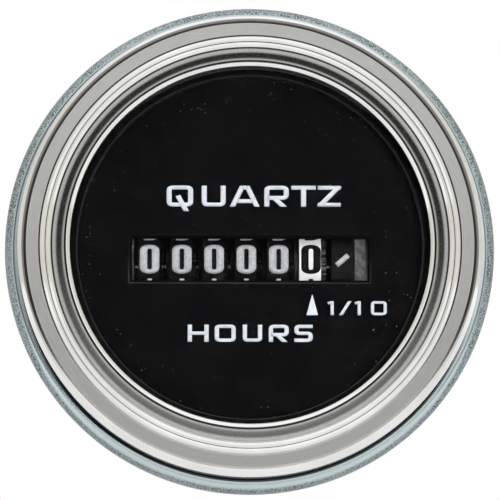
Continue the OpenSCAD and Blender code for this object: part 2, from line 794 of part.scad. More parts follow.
// Black wheel with the running mark, pressed on the run shaft
module run_indicator_wheel() {
    color("black") upright() across(wheel_x(RUN)) translate([counter_y, counter_z])
        wheel_blank(run_shaft_d + 2 * press_clearance, -band_w / 2, band_w / 2);
}

// Wheel with pointed teeth that the armature steps, pressed on the run shaft
module star_wheel() {
    step = 360 / STAR;
    tip_from = 0.42;
    tip_to = 0.58;
    color("gold") upright() across(star_x) translate([counter_y, counter_z]) difference() {
        linear_extrude(star_t) polygon([for (i = [0 : STAR - 1]) each [
            on_circle(star_d / 2 - star_tooth_h, i * step), on_circle(star_d / 2, (i + tip_from) * step),
            on_circle(star_d / 2, (i + tip_to) * step)]]);
        translate([0, 0, -1]) cylinder(d = run_shaft_d + 2 * press_clearance, h = star_t + 2, $fn = FINE);
    }
}

// Fixed shaft of the carry pinions
module carry_shaft() {
    color("gainsboro") upright() rod(carry_axis, left_out, right_out, carry_shaft_d);
}

// A carry pinion between wheel k and its right neighbour, with its teeth cut short beside the carry disc
module carry_pinion(k) {
    w = digit_pitch - band_w - 2 * pinion_side_gap;
    x = wheel_x(k) + band_w / 2 + pinion_side_gap;
    turn = meeting_gap(CARRY_AT, CARRY_PINION);
    bore = carry_shaft_d + 2 * running_clearance;
    color("ivory") upright() across(x) translate(carry_axis) difference() {
        union() {
            gear(CARRY_PINION, carry_module, carry_gear_t, turn);
            intersection() {
                gear(CARRY_PINION, carry_module, w, turn);
                cylinder(r = short_tooth_r, h = w, $fn = FINE);
            }
        }
        translate([0, 0, -1]) cylinder(d = bore, h = w + 2, $fn = FINE);
    }
}
module carry_pinion_1() { carry_pinion(0); }
module carry_pinion_2() { carry_pinion(1); }
module carry_pinion_3() { carry_pinion(2); }
module carry_pinion_4() { carry_pinion(3); }
module carry_pinion_5() { carry_pinion(4); }

// Arbor of the reduction wheel, with the second pinion cut on it
module reduction_arbor() {
    color("gainsboro") upright() union() {
        rod(drive_axis, left_out, right_out, arbor_d);
        across(reduction_pinion_x) translate(drive_axis)
            gear(PINION, second_module, reduction_pinion_w, meeting_gap(DRIVE_AT, PINION));
    }
}

// Brass reduction wheel pressed on its arbor
module reduction_wheel() {
    bore = arbor_d + 2 * press_clearance;
    color("gold") upright() across(reduction_wheel_x) translate(drive_axis) difference() {
        gear(REDUCTION_WHEEL, first_module, reduction_wheel_t, meeting_gap(DRIVE_AT, REDUCTION_WHEEL));
        translate([0, 0, -1]) cylinder(d = bore, h = reduction_wheel_t + 2, $fn = FINE);
    }
}

// Rocking iron armature with two pallets beside the star wheel
module armature() {
    bore = armature_pin_d + 2 * running_clearance;
    color("slategray") upright() across(armature_x) translate([armature_y, counter_z]) difference() {
        linear_extrude(armature_t) {
            circle(d = armature_hub_d, $fn = FINE);
            for (side = [-1, 1])
                rotate(side * PALLET_ANGLE) translate([0, -pallet_w / 2]) square([pallet_len, pallet_w]);
            translate([-tail_len, -tail_w / 2]) square([tail_len, tail_w]);
        }
        translate([0, 0, -1]) cylinder(d = bore, h = armature_t + 2, $fn = FINE);
    }
}

// Pin pressed into the right plate, on which the armature rocks
module armature_pin() {
    at = [armature_y, counter_z];
    color("gainsboro") upright() rod(at, armature_x - drive_side_gap, right_out, armature_pin_d);
}

// Leaf spring that returns the armature, riveted to the right plate
module return_spring() {
    z = counter_z + tail_w / 2 + pole_gap;
    color("peru") upright() translate([armature_x, armature_y - tail_len, z])
        cube([right_in - armature_x, tail_len, spring_t]);
}

// Iron core of the coil
module coil_core() {
    color("slategray") upright() rod([core_y, core_z], yoke_x, pole_x, core_d);
}

// Moulded bobbin: a tube with two cheeks
module coil_bobbin() {
    bore = core_d + 2 * press_clearance;
    tube = core_d + 2 * bobbin_wall;
    color("ivory") upright() across(bobbin_x) translate([core_y, core_z]) rotate_extrude($fn = ROUND) {
        band(bore / 2, tube / 2, 0, bobbin_len);
        band(bore / 2, bobbin_d / 2, 0, cheek_t);
        band(bore / 2, bobbin_d / 2, bobbin_len - cheek_t, bobbin_len);
    }
}

// Copper winding between the cheeks
module coil_winding() {
    tube = core_d + 2 * bobbin_wall;
    color("sienna") upright() across(bobbin_x + cheek_t) translate([core_y, core_z])
        rotate_extrude($fn = ROUND)
            band(tube / 2 + press_clearance, winding_d / 2, 0, bobbin_len - 2 * cheek_t);
}

// Bent iron strip from the core's far end to the armature
module yoke() {
    strip_back = core_z - core_d / 2 - iron_t;
    strip_front = counter_z + tail_w / 2;
    y = core_y - strip_w / 2 - core_d / 4;
    h = strip_w + core_d / 2;
    color("slategray") upright() difference() {
        union() {
            translate([yoke_x, y, strip_back]) cube([iron_t, h, strip_front - strip_back]);
            translate([yoke_x, y, strip_front - iron_t])
                cube([armature_x - drive_side_gap - yoke_x, h, iron_t]);
        }
        rod([core_y, core_z], yoke_x - 1, yoke_x + iron_t + 1, core_d + 2 * press_clearance);
    }
}

// Iron pole plate on the right plate, beside the armature's tail
module pole_plate() {
    y0 = core_y - core_d;
    y1 = armature_y - armature_hub_d / 2 - pole_gap;
    z0 = core_z - core_d;
    color("slategray") upright() translate([pole_x, y0, z0]) cube([iron_t, y1 - y0, pole_face - z0]);
}

// Two lead pins from the bobbin to the board
module coil_leads() {
    color("silver") upright() for (x = coil_lead_x)
        post([x, core_y], board_z - board_t / 2, core_z - bobbin_d / 2, coil_lead_d);
}

// Round circuit board on the four legs
module circuit_board() {
    color("seagreen") upright() difference() {
        turned() band(0, case_ri - board_clearance, board_z, board_front);
        for (at = LEGS) post(at, board_z - 1, board_front + 1, board_hole);
        for (at = TERMINALS) post(at, board_z - 1, board_front + 1, terminal_tail_d + 2 * screw_clearance);
        for (x = coil_lead_x)
            post([x, core_y], board_z - 1, board_front + 1, coil_lead_d + 2 * screw_clearance);
    }
}

// Four screws that hold the board to the legs
module board_screws() {
    slot = board_screw_d / 4;
    color("silver") upright() for (at = LEGS) difference() {
        union() {
            post(at, board_z - board_head_h, board_z, board_head_d);
            post(at, board_z, board_front + board_screw_grip, board_screw_d);
        }
        translate([at[0] - board_head_d, at[1] - slot / 2, board_z - board_head_h - 1])
            cube([2 * board_head_d, slot, 1 + board_head_h / 2]);
    }
}

// Quartz crystal in a flat oval can with a base rim
module crystal_outline(len, w) {
    square([len - w, w], center = true);
    for (side = [-1, 1]) translate([side * (len - w) / 2, 0]) circle(d = w, $fn = FINE);
}
module quartz_crystal() {
    color("silver") upright() translate([-crystal_left, top_row_up, board_front]) union() {
        linear_extrude(crystal_rim)
            crystal_outline(crystal_len + 2 * crystal_rim, crystal_w + 2 * crystal_rim);
        linear_extrude(crystal_h) crystal_outline(crystal_len, crystal_w);
    }
}

// Divider and driver chip with eight legs
module divider_chip() {
    side_legs = 4;
    pitch = chip_len / side_legs;
    color("black") upright() translate([0, chip_up, board_front]) union() {
        translate([-chip_len / 2, -chip_w / 2, chip_leg_t]) cube([chip_len, chip_w, chip_h]);
        for (i = [0 : side_legs - 1], side = [-1, 1])
            translate([(i + 0.5) * pitch - chip_len / 2 - chip_leg_t / 2, side * chip_w / 2 - chip_leg_t, 0])
                cube([chip_leg_t, 2 * chip_leg_t, chip_leg_t + chip_h / 2]);
    }
}

// Smoothing capacitor with a rolled bead
module capacitor() {
    color("steelblue") upright() translate([capacitor_right, top_row_up, board_front])
        rotate_extrude($fn = ROUND) difference() {
            band(0, capacitor_d / 2, 0, capacitor_h);
            translate([(capacitor_d + capacitor_bead) / 2, 3 * capacitor_bead])
                circle(capacitor_bead, $fn = FINE);
        }
}

// Terminal studs: head inside the case, tail through the board
module terminal_studs() {
    head_z = inside_z + insulator_t;
    color("goldenrod") upright() for (at = TERMINALS) union() {
        stud(at, head_z, head_z - back_z + terminal_len, terminal_d);
        post(at, head_z, head_z + terminal_head_t, terminal_head_d);
        post(at, head_z, board_front + terminal_tail_d / 2, terminal_tail_d);
    }
}

// Insulators with a sleeve through the case hole
module inner_insulators() {
    color("saddlebrown") upright() for (at = TERMINALS) difference() {
        union() {
            post(at, inside_z, inside_z + insulator_t, insulator_d);
            post(at, back_z, inside_z, 2 * sleeve_r);
        }
        post(at, back_z - 1, inside_z + insulator_t + 1, terminal_bore);
    }
}

// A flat ring on each terminal, behind the case
module terminal_ring(z, t, d) {
    for (at = TERMINALS) difference() {
        post(at, z - t, z, d);
        post(at, z - t - 1, z + 1, terminal_bore);
    }
}

// Insulating collars outside the case
module outer_insulators() {
    color("saddlebrown") upright() terminal_ring(back_z, insulator_t, insulator_d);
}

// Flat washers under the spring washers
module terminal_washers() {
    color("silver") upright() terminal_ring(washer_z, washer_t, washer_d);
}

// Slit spring washers under the nuts
module terminal_lock_washers() {
    slit_lean = 30;
    color("silver") upright() difference() {
        terminal_ring(lock_washer_z, lock_washer_t, lock_washer_d);
        for (at = TERMINALS)
            translate([at[0], at[1], lock_washer_z - lock_washer_t / 2])
                rotate([0, slit_lean, 0]) translate([-lock_slit_w / 2, 0, -lock_washer_d])
                    cube([lock_slit_w, lock_washer_d, 2 * lock_washer_d]);
    }
}

// Hexagon nuts with bevelled corners
module terminal_nuts() {
    across_corners = nut_af / cos(30);
    bevel = (across_corners - nut_af) / 2;
    color("goldenrod") upright() for (at = TERMINALS) translate([at[0], at[1], nut_z - nut_h]) difference() {
        intersection() {
            cylinder(d = across_corners, h = nut_h, $fn = 6);
            union() {
                cylinder(d1 = nut_af, d2 = across_corners, h = bevel, $fn = FINE);
                translate([0, 0, bevel]) cylinder(d = across_corners, h = nut_h - bevel, $fn = FINE);
            }
        }
        translate([0, 0, -1]) cylinder(d = terminal_bore, h = nut_h + 2, $fn = FINE);
    }
}

case_can();
mounting_studs();
case_gasket();
bezel();
lens_gasket();
lens();
spacer_ring();
dial_plate();
carrier();
left_plate();
right_plate();
counter_end_block();
frame_posts();
frame_screws();
foot_screws();
run_shaft();
run_indicator_wheel();
star_wheel();
ten_thousands_wheel();
thousands_wheel();
hundreds_wheel();
tens_wheel();
units_wheel();
tenths_wheel();
carry_shaft();
carry_pinion_1();
carry_pinion_2();
carry_pinion_3();
carry_pinion_4();
carry_pinion_5();
reduction_arbor();
reduction_wheel();
armature();
armature_pin();
return_spring();
coil_core();
coil_bobbin();
coil_winding();
yoke();
pole_plate();
coil_leads();
circuit_board();
board_screws();
quartz_crystal();
divider_chip();
capacitor();
terminal_studs();
inner_insulators();
outer_insulators();
terminal_washers();
terminal_lock_washers();
terminal_nuts();
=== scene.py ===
import json
import math

import bpy
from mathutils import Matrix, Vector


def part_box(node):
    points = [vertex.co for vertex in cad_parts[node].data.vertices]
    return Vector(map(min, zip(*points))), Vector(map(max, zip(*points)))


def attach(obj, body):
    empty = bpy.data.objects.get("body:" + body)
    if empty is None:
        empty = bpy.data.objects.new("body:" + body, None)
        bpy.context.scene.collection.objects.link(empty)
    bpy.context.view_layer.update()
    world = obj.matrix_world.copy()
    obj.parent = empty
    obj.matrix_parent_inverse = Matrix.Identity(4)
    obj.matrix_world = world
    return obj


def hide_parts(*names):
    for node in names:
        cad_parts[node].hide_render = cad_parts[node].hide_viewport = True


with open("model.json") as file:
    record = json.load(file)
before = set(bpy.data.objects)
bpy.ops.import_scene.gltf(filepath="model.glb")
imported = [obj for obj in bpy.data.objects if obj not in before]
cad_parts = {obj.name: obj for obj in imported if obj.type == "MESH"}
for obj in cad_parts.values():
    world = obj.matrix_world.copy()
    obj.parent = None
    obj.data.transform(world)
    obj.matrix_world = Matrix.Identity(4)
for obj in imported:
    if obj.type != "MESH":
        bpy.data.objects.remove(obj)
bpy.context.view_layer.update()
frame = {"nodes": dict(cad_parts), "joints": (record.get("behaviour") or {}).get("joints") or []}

# Case
# The body is a can drawn from steel sheet, with a flange whose edge is rolled over the bezel's foot.
# It is plated with bright zinc, finely crystalline on the rolled edge and smoother on the flat of the rim.
MM = 0.001
case_low, case_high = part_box("case_can")
flange_r = case_high.x / MM
hem_top = -case_low.y / MM
case_back = -case_high.y / MM
case_wall = 0.8
case_r = 25.9
case_corner = 2.5
hem_front_r = 1.1
hem_back_r = 0.5
hem_under = hem_top - case_wall
hem_lip_r = 27.75
hem_lip_round = 0.12
crimp_r = flange_r - hem_front_r
crimp_w = 0.14
terminal_x = 9.5
terminal_hole_r = 3.085
punch_t = 4
ROUND_STEPS = 192
SMALL_STEPS = 48
SMOOTH = 32


def arc(centre, radius, start, end, steps):
    """Points of (radius, level) along an arc, with angles in degrees from the outward direction."""
    angles = [math.radians(start + (end - start) * i / steps) for i in range(steps + 1)]
    return [(centre[0] + radius * math.cos(a), centre[1] + radius * math.sin(a)) for a in angles]


def pick(*pieces):
    """Selects these pieces and nothing else, the first of them active."""
    bpy.ops.object.select_all(action="DESELECT")
    for piece in pieces:
        piece.select_set(True)
    if pieces:
        bpy.context.view_layer.objects.active = pieces[0]


def take_all():
    """Selects all of the piece that is being edited."""
    bpy.ops.mesh.select_all(action="SELECT")


def edit_all(piece):
    """Opens one piece for editing with all of it selected."""
    pick(piece)
    bpy.ops.object.mode_set(mode="EDIT")
    take_all()


def close_edit(smooth=None):
    """Turns all faces outward and leaves editing, and smooths edges up to an angle in degrees."""
    take_all()
    bpy.ops.mesh.normals_make_consistent(inside=False)
    bpy.ops.object.mode_set(mode="OBJECT")
    if smooth:
        bpy.ops.object.shade_smooth_by_angle(angle=math.radians(smooth))


def turned(name, outline, closed=True, steps=ROUND_STEPS):
    """Draws an outline of (radius, level), level towards the reader, and spins it about the dial's axis."""
    pick()
    bpy.ops.mesh.primitive_plane_add(size=MM)
    piece = bpy.context.object
    piece.name = name
    edit_all(piece)
    bpy.ops.mesh.merge(type="CENTER")
    places = [(r * MM, -level * MM, 0) for r, level in outline]
    bpy.ops.transform.translate(value=places[0])
    for here, there in zip(places, places[1:]):
        step = [b - a for a, b in zip(here, there)]
        bpy.ops.mesh.extrude_region_move(TRANSFORM_OT_translate={"value": step})
    if closed:
        step = [b - a for a, b in zip(places[-1], places[0])]
        bpy.ops.mesh.extrude_region_move(TRANSFORM_OT_translate={"value": step})
    take_all()
    bpy.ops.mesh.remove_doubles(threshold=1e-7)
    bpy.ops.mesh.spin(steps=steps, angle=2 * math.pi, center=(0, 0, 0), axis=(0, 1, 0))
    take_all()
    bpy.ops.mesh.remove_doubles(threshold=2e-7)
    bpy.ops.mesh.dissolve_degenerate(threshold=1e-8)
    close_edit(SMOOTH)
    return piece


def apply_modifier(piece, kind, **settings):
    """Adds one modifier with its settings and applies it."""
    pick(piece)
    modifier = piece.modifiers.new(kind.lower(), kind)
    for key, value in settings.items():
        setattr(modifier, key, value)
    bpy.ops.object.modifier_apply(modifier=modifier.name)


def settle(piece, place=(0, 0, 0), turn=(0, 0, 0)):
    """Turns and moves a piece, and puts its place into its mesh."""
    pick(piece)
    piece.rotation_euler = turn
    piece.location = place
    bpy.ops.object.transform_apply(location=True, rotation=True, scale=True)


def fixed_piece(piece, material, slot, body, *nodes):
    """Gives a new piece its material and finish and the body it rides on, and hides the nodes it stands for."""
    piece.data.materials.clear()
    piece.data.materials.append(material)
    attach(piece, body)
    if nodes:
        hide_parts(*nodes)


def shader_of(material):
    """The principled shader of a material."""
    return material.node_tree.nodes["Principled BSDF"]


def finish(name, color, roughness, metallic=0.0, **sockets):
    """A new material with one principled shader, its constants set on the shader's own sockets."""
    material = bpy.data.materials.new(name)
    material.use_nodes = True
    shader = shader_of(material)
    shader.inputs["Base Color"].default_value = (*color, 1)
    shader.inputs["Roughness"].default_value = roughness
    shader.inputs["Metallic"].default_value = metallic
    for key, value in sockets.items():
        shader.inputs[key.replace("_", " ")].default_value = value
    return material


def add_node(tree, kind, inputs=None, **settings):
    """Adds a shader node, with its settings and the values or links of its inputs."""
    node = tree.nodes.new("ShaderNode" + kind)
    for key, value in settings.items():
        setattr(node, key, value)
    for key, value in (inputs or {}).items():
        if isinstance(value, bpy.types.NodeSocket):
            tree.links.new(value, node.inputs[key])
        else:
            node.inputs[key].default_value = value
    return node


def blend_color(tree, mask, first, second):
    """Mixes two colours, or a linked colour and another, by a mask."""
    as_color = lambda c: c if isinstance(c, bpy.types.NodeSocket) else (*c, 1)
    node = add_node(tree, "Mix", {0: mask, 6: as_color(first), 7: as_color(second)}, data_type="RGBA")
    return node.outputs[2]


def ramp(tree, value, low, high, out_low=0.0, out_high=1.0):
    """Maps a value smoothly from one range to another."""
    node = add_node(tree, "MapRange", {"Value": value, "From Min": low, "From Max": high,
        "To Min": out_low, "To Max": out_high}, interpolation_type="SMOOTHSTEP")
    return node.outputs["Result"]


def sum_of(tree, operation, first, second=0.0):
    """One step of arithmetic with one or two values."""
    return add_node(tree, "Math", {0: first, 1: second}, operation=operation).outputs[0]


def vector_of(tree, operation, first, second=(0, 0, 0)):
    """One step of arithmetic with vectors, which gives a vector or a value."""
    node = add_node(tree, "VectorMath", {0: first, 1: second}, operation=operation)
    return node.outputs["Value" if operation in ("LENGTH", "DOT_PRODUCT") else "Vector"]


def times(tree, first, *others):
    """The product of values."""
    for other in others:
        first = sum_of(tree, "MULTIPLY", first, other)
    return first


def noise(tree, place, scale, detail, roughness=0.5):
    """Soft noise over places."""
    return add_node(tree, "TexNoise", {"Vector": place, "Scale": scale, "Detail": detail,
        "Roughness": roughness}).outputs["Fac"]


def place_in(tree):
    """The place of a point in its object's own coordinates."""
    return add_node(tree, "TexCoord").outputs["Object"]


def feed(material, **sources):
    """Links colours, values or normals to sockets of a material's shader."""
    for key, source in sources.items():
        material.node_tree.links.new(source, shader_of(material).inputs[key.replace("_", " ")])


def fed(material, socket):
    """What is linked to a socket of a material's shader."""
    return shader_of(material).inputs[socket].links[0].from_socket


def effect(tree, group, **inputs):
    """Places an effect in a material with its own values, and gives its outputs."""
    return add_node(tree, "Group", inputs, node_tree=group).outputs


def effect_group(name, inputs, outputs):
    """An empty shader node group with named value inputs and outputs."""
    group = bpy.data.node_groups.new(name, "ShaderNodeTree")
    for label, default in inputs.items():
        group.interface.new_socket(label, in_out="INPUT", socket_type="NodeSocketFloat").default_value = default
    for label in outputs:
        group.interface.new_socket(label, in_out="OUTPUT", socket_type="NodeSocketFloat")
    group.nodes.new("NodeGroupOutput")
    return group, group.nodes.new("NodeGroupInput").outputs


def give(group, **values):
    """Links what a group puts out."""
    for label, value in values.items():
        group.links.new(value, group.nodes["Group Output"].inputs[label])


# Fine grain: two sizes of noise, for mottle and for the small relief of a plated, cast or moulded surface
grain_group, grain_in = effect_group("fine_grain", {"Scale": 3000.0}, ("Mottle", "Relief"))
grain_place = place_in(grain_group)
grain_mottle = noise(grain_group, grain_place, grain_in["Scale"], 3.0, 0.6)
grain_relief = noise(grain_group, grain_place, times(grain_group, grain_in["Scale"], 2.3), 2.0)
give(grain_group, Mottle=ramp(grain_group, grain_mottle, 0.35, 0.65), Relief=grain_relief)

# Ring distance: how far a point lies from the dial's axis, its level towards the reader and its height,
# in millimetres, and marks that run round the axis
ring_group, _ = effect_group("ring_distance", {}, ("Radius", "Level", "Height", "Marks"))
ring_place = place_in(ring_group)
ring_length = vector_of(ring_group, "LENGTH", vector_of(ring_group, "MULTIPLY", ring_place, (1 / MM, 0, 1 / MM)))
ring_parts = add_node(ring_group, "SeparateXYZ", {0: ring_place}).outputs
ring_level = times(ring_group, ring_parts["Y"], -1 / MM)
ring_turn = sum_of(ring_group, "ARCTAN2", ring_parts["Z"], ring_parts["X"])
ring_way = add_node(ring_group, "CombineXYZ", {"X": times(ring_group, ring_turn, 16.0),
    "Y": times(ring_group, ring_length, 9.0), "Z": times(ring_group, ring_level, 9.0)})
give(ring_group, Radius=ring_length, Level=ring_level, Height=times(ring_group, ring_parts["Z"], 1 / MM),
    Marks=noise(ring_group, ring_way.outputs[0], 1.0, 3.0))


def bumped(material, height, strength, distance=0.02):
    """Gives a material a small relief."""
    inputs = {"Height": height, "Strength": strength, "Distance": distance * MM}
    feed(material, Normal=add_node(material.node_tree, "Bump", inputs).outputs["Normal"])


def coat(name, scale, dark, light, rough, metallic=0.0, relief=0.0, **sockets):
    """A new material with fine grain: mottled colour, uneven roughness and a small relief."""
    middle = [(low + high) / 2 for low, high in zip(dark, light)]
    material = finish(name, middle, sum(rough) / 2, metallic, **sockets)
    tree = material.node_tree
    grain = effect(tree, grain_group, Scale=scale)
    feed(material, Base_Color=blend_color(tree, grain["Mottle"], dark, light),
        Roughness=ramp(tree, grain["Relief"], 0.3, 0.7, *rough))
    if relief:
        bumped(material, grain["Relief"], relief)
    return material


def layered(tree, color, *layers):
    """Lays colours over one another, each by its own mask."""
    for mask, over in layers:
        color = blend_color(tree, mask, color, over)
    return color


def ring_mask(tree, radius, middle, half_w, soft):
    """1 on a ring about the axis, fading to 0 over a soft edge."""
    away = sum_of(tree, "ABSOLUTE", sum_of(tree, "SUBTRACT", radius, middle))
    return ramp(tree, away, half_w + soft, half_w)


speck_r = flange_r - 0.48
zinc = coat("zinc_plate", 5200, (0.37, 0.44, 0.455), (0.54, 0.615, 0.63), (0.32, 0.5), metallic=0.75, relief=0.35)
zinc_tree = zinc.node_tree
zinc_ring = effect(zinc_tree, ring_group)
zinc_specks = effect(zinc_tree, grain_group, Scale=3000.0)
zinc_cloud = effect(zinc_tree, grain_group, Scale=220.0)

# The flat of the rim is drawn wider towards the bottom, and a painted shadow lies in its joint with the bezel
# there
zinc_inward = sum_of(zinc_tree, "SUBTRACT", zinc_ring["Radius"],
    ramp(zinc_tree, zinc_ring["Height"], -6.0, -22.0, 0.0, 0.42))
zinc_dark = times(zinc_tree, ramp(zinc_tree, zinc_specks["Relief"], 0.45, 0.57),
    ring_mask(zinc_tree, zinc_inward, speck_r, 0.26, 0.3),
    ramp(zinc_tree, zinc_cloud["Mottle"], 0.0, 1.0, 0.7, 1.0))
zinc_front = ramp(zinc_tree, zinc_ring["Level"], hem_top - 0.5, hem_top - 0.2)
zinc_flat = times(zinc_tree, ramp(zinc_tree, zinc_inward, crimp_r + 0.3, crimp_r - 0.05), zinc_front)
zinc_body = sum_of(zinc_tree, "SUBTRACT",
    ramp(zinc_tree, zinc_ring["Radius"], case_r + 1.2, case_r + 0.6), zinc_flat)
zinc_way = vector_of(zinc_tree, "MULTIPLY", place_in(zinc_tree), (2400, 70, 2400))
zinc_draw = noise(zinc_tree, zinc_way, 1.0, 4.0)
zinc_streaks = blend_color(zinc_tree, zinc_ring["Marks"], (0.74, 0.88, 0.91), (0.92, 0.99, 1.0))
zinc_drawn = blend_color(zinc_tree, ramp(zinc_tree, zinc_draw, 0.35, 0.65), (0.47, 0.52, 0.535),
    (0.55, 0.6, 0.615))
zinc_drawn = blend_color(zinc_tree, times(zinc_tree, zinc_cloud["Mottle"], 0.3), zinc_drawn, (0.52, 0.53, 0.48))
# Painted shade: a dark line along the crimp of the rolled edge, darker towards the top and faint at the bottom
zinc_crimp_shade = times(zinc_tree, ring_mask(zinc_tree, zinc_ring["Radius"], crimp_r, 0.05, 0.1), zinc_front,
    ramp(zinc_tree, zinc_ring["Height"], -24.0, -6.0, 0.15, 0.75))
# Painted shadow: a near-black ring where the rim meets the bezel, strongest at the bottom and absent at the top
zinc_gap_shadow = times(zinc_tree, ring_mask(zinc_tree, zinc_ring["Radius"], hem_lip_r + 0.08, 0.1, 0.12), zinc_front,
    ramp(zinc_tree, zinc_ring["Height"], -6.0, -20.0, 0.0, 0.92))
zinc_color = layered(zinc_tree, fed(zinc, "Base Color"), (zinc_body, zinc_drawn), (zinc_flat, zinc_streaks),
    (zinc_crimp_shade, (0.14, 0.17, 0.18)), (zinc_dark, (0.085, 0.105, 0.11)), (zinc_gap_shadow, (0.012, 0.018, 0.02)))
zinc_rough = sum_of(zinc_tree, "MAXIMUM", fed(zinc, "Roughness"), times(zinc_tree, zinc_flat, 0.9))
zinc_rough = sum_of(zinc_tree, "SUBTRACT", zinc_rough, times(zinc_tree, zinc_body, 0.14))
feed(zinc, Base_Color=zinc_color, Roughness=zinc_rough, Metallic=ramp(zinc_tree, zinc_flat, 0.0, 1.0, 0.75, 0.25))

inner_corner = case_corner - case_wall
case_ri = case_r - case_wall
case_outline = (
    [(0, case_back + case_wall)]
    + arc((case_ri - inner_corner, case_back + case_wall + inner_corner), inner_corner, -90, 0, 8)
    + [(case_ri, case_wall), (flange_r - case_wall, case_wall), (flange_r - case_wall, hem_under),
       (hem_lip_r, hem_under)]
    + arc((hem_lip_r + hem_lip_round, hem_top - hem_lip_round), hem_lip_round, 180, 90, 5)
    + arc((crimp_r, hem_top), crimp_w / 2, 180, 360, 8)
    + arc((flange_r - hem_front_r, hem_top - hem_front_r), hem_front_r, 86, 0, 16)
    + arc((flange_r - hem_back_r, hem_back_r), hem_back_r, 0, -90, 8)
    + [(case_r, 0)]
    + arc((case_r - case_corner, case_back + case_corner), case_corner, 0, -90, 12)
    + [(0, case_back)]
)
case = turned("case", case_outline, closed=False)
for side in (-1, 1):
    pick()
    bpy.ops.mesh.primitive_cylinder_add(vertices=SMALL_STEPS, radius=terminal_hole_r * MM, depth=punch_t * MM,
        location=(side * terminal_x * MM, -case_back * MM, 0), rotation=(math.pi / 2, 0, 0))
    punch = bpy.context.object
    apply_modifier(case, "BOOLEAN", object=punch, operation="DIFFERENCE", solver="EXACT")
    bpy.data.objects.remove(punch)
fixed_piece(case, zinc, "zinc_steel", "housing", "case_can")

# Mounting studs
# Two steel studs are welded to the back of the can, each with a flat collar at its root.
# Their thread is rolled, and they are plated together with the can.
stud_r = 2.085
thread_pitch = 0.794
thread_depth = 0.42
thread_run_out = 0.35
thread_sink = 0.1
THREAD_STEPS = 24
tip_chamfer = 0.3
collar_r = 3.4
collar_t = 0.8
collar_chamfer = 0.2
neck_h = 0.6
stud_tip = -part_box("mounting_studs")[1].y / MM
mounting_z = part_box("mounting_studs")[1].z / MM - collar_r


def joined(name, pieces):
    """Joins pieces into one object."""
    pick(*pieces)
    bpy.ops.object.join()
    pieces[0].name = name
    return pieces[0]


def thread(first_level, last_level):
    """A helical ridge between two levels, as one closed strip about the dial's axis."""
    turns = int((last_level - first_level) / thread_pitch)
    root = (stud_r - thread_depth - thread_sink) * MM
    pick()
    bpy.ops.mesh.primitive_circle_add(vertices=3, radius=MM)
    ridge = bpy.context.object
    corners = [(root, 0), (stud_r * MM, 0.5 * thread_pitch * MM), (root, thread_pitch * MM)]
    for vertex, (r, level) in zip(ridge.data.vertices, corners):
        vertex.co = (r, -first_level * MM - level, 0)
    apply_modifier(ridge, "SCREW", axis="Y", steps=THREAD_STEPS, render_steps=THREAD_STEPS, iterations=turns,
        screw_offset=-thread_pitch * MM, angle=2 * math.pi, use_merge_vertices=True)
    edit_all(ridge)
    bpy.ops.mesh.remove_doubles(threshold=1e-8)
    bpy.ops.mesh.fill_holes(sides=4)
    close_edit(SMOOTH)
    return ridge


def threaded_rod(tip_level, root_level, head):
    """A threaded rod about the dial's axis, with a pointed end and an outline for what is at its root."""
    core = stud_r - thread_depth
    tip = [(0, tip_level), (core - tip_chamfer, tip_level), (core, tip_level + tip_chamfer), (core, root_level)]
    rod = turned("rod", tip + head, closed=False, steps=SMALL_STEPS)
    return [rod, thread(tip_level + thread_run_out, root_level)]


def rod_pair(name, place, *rod):
    """Two threaded rods, one on each side of the dial's axis, joined."""
    parts = []
    for side in (-1, 1):
        for part in threaded_rod(*rod):
            settle(part, place=[side * along * MM for along in place])
            parts.append(part)
    return joined(name, parts)


collar_back = case_back - collar_t
weld = [(stud_r, collar_back - neck_h), (stud_r, collar_back), (collar_r - collar_chamfer, collar_back),
    (collar_r, collar_back + collar_chamfer), (collar_r, case_back), (0, case_back)]
studs = rod_pair("mounting_screws", (0, 0, mounting_z), stud_tip, collar_back - neck_h, weld)
fixed_piece(studs, zinc, "zinc_steel", "housing", "mounting_studs")

# Seals
# Two rings of black rubber, one under the bezel's foot and one between the lens and the bezel's front.
# They are punched from sheet and have a dull skin.
rubber = coat("black_rubber", 1800, (0.018, 0.018, 0.018), (0.04, 0.04, 0.04), (0.65, 0.9), relief=0.3)


def dress(material, *nodes):
    """Gives nodes that keep their solid's shape a better material."""
    for node in nodes:
        for slot in frame["nodes"][node].material_slots:
            slot.material = material


dress(rubber, "case_gasket", "lens_gasket")

# Movement frame
# Two stamped and blackened plates stand on a moulded ring, held apart by four turned posts and their screws.
# A dark moulded block beside the last wheel fills the right end of the window.
carrier_black = coat("carrier_plastic", 900, (0.03, 0.03, 0.033), (0.055, 0.055, 0.06), (0.45, 0.65), relief=0.15)
plate_steel = coat("plate_steel", 1500, (0.018, 0.018, 0.02), (0.045, 0.045, 0.048), (0.42, 0.6), metallic=0.4,
    relief=0.1)
screw_steel = coat("screw_steel", 3000, (0.5, 0.51, 0.53), (0.72, 0.73, 0.75), (0.25, 0.4), metallic=1.0,
    relief=0.1)
block_grey = coat("block_grey", 1700, (0.025, 0.025, 0.027), (0.1, 0.1, 0.105), (0.5, 0.75), relief=0.3)
dress(carrier_black, "carrier")
dress(plate_steel, "left_plate", "right_plate", "frame_posts")
dress(screw_steel, "frame_screws", "foot_screws", "board_screws")
dress(block_grey, "counter_end_block")

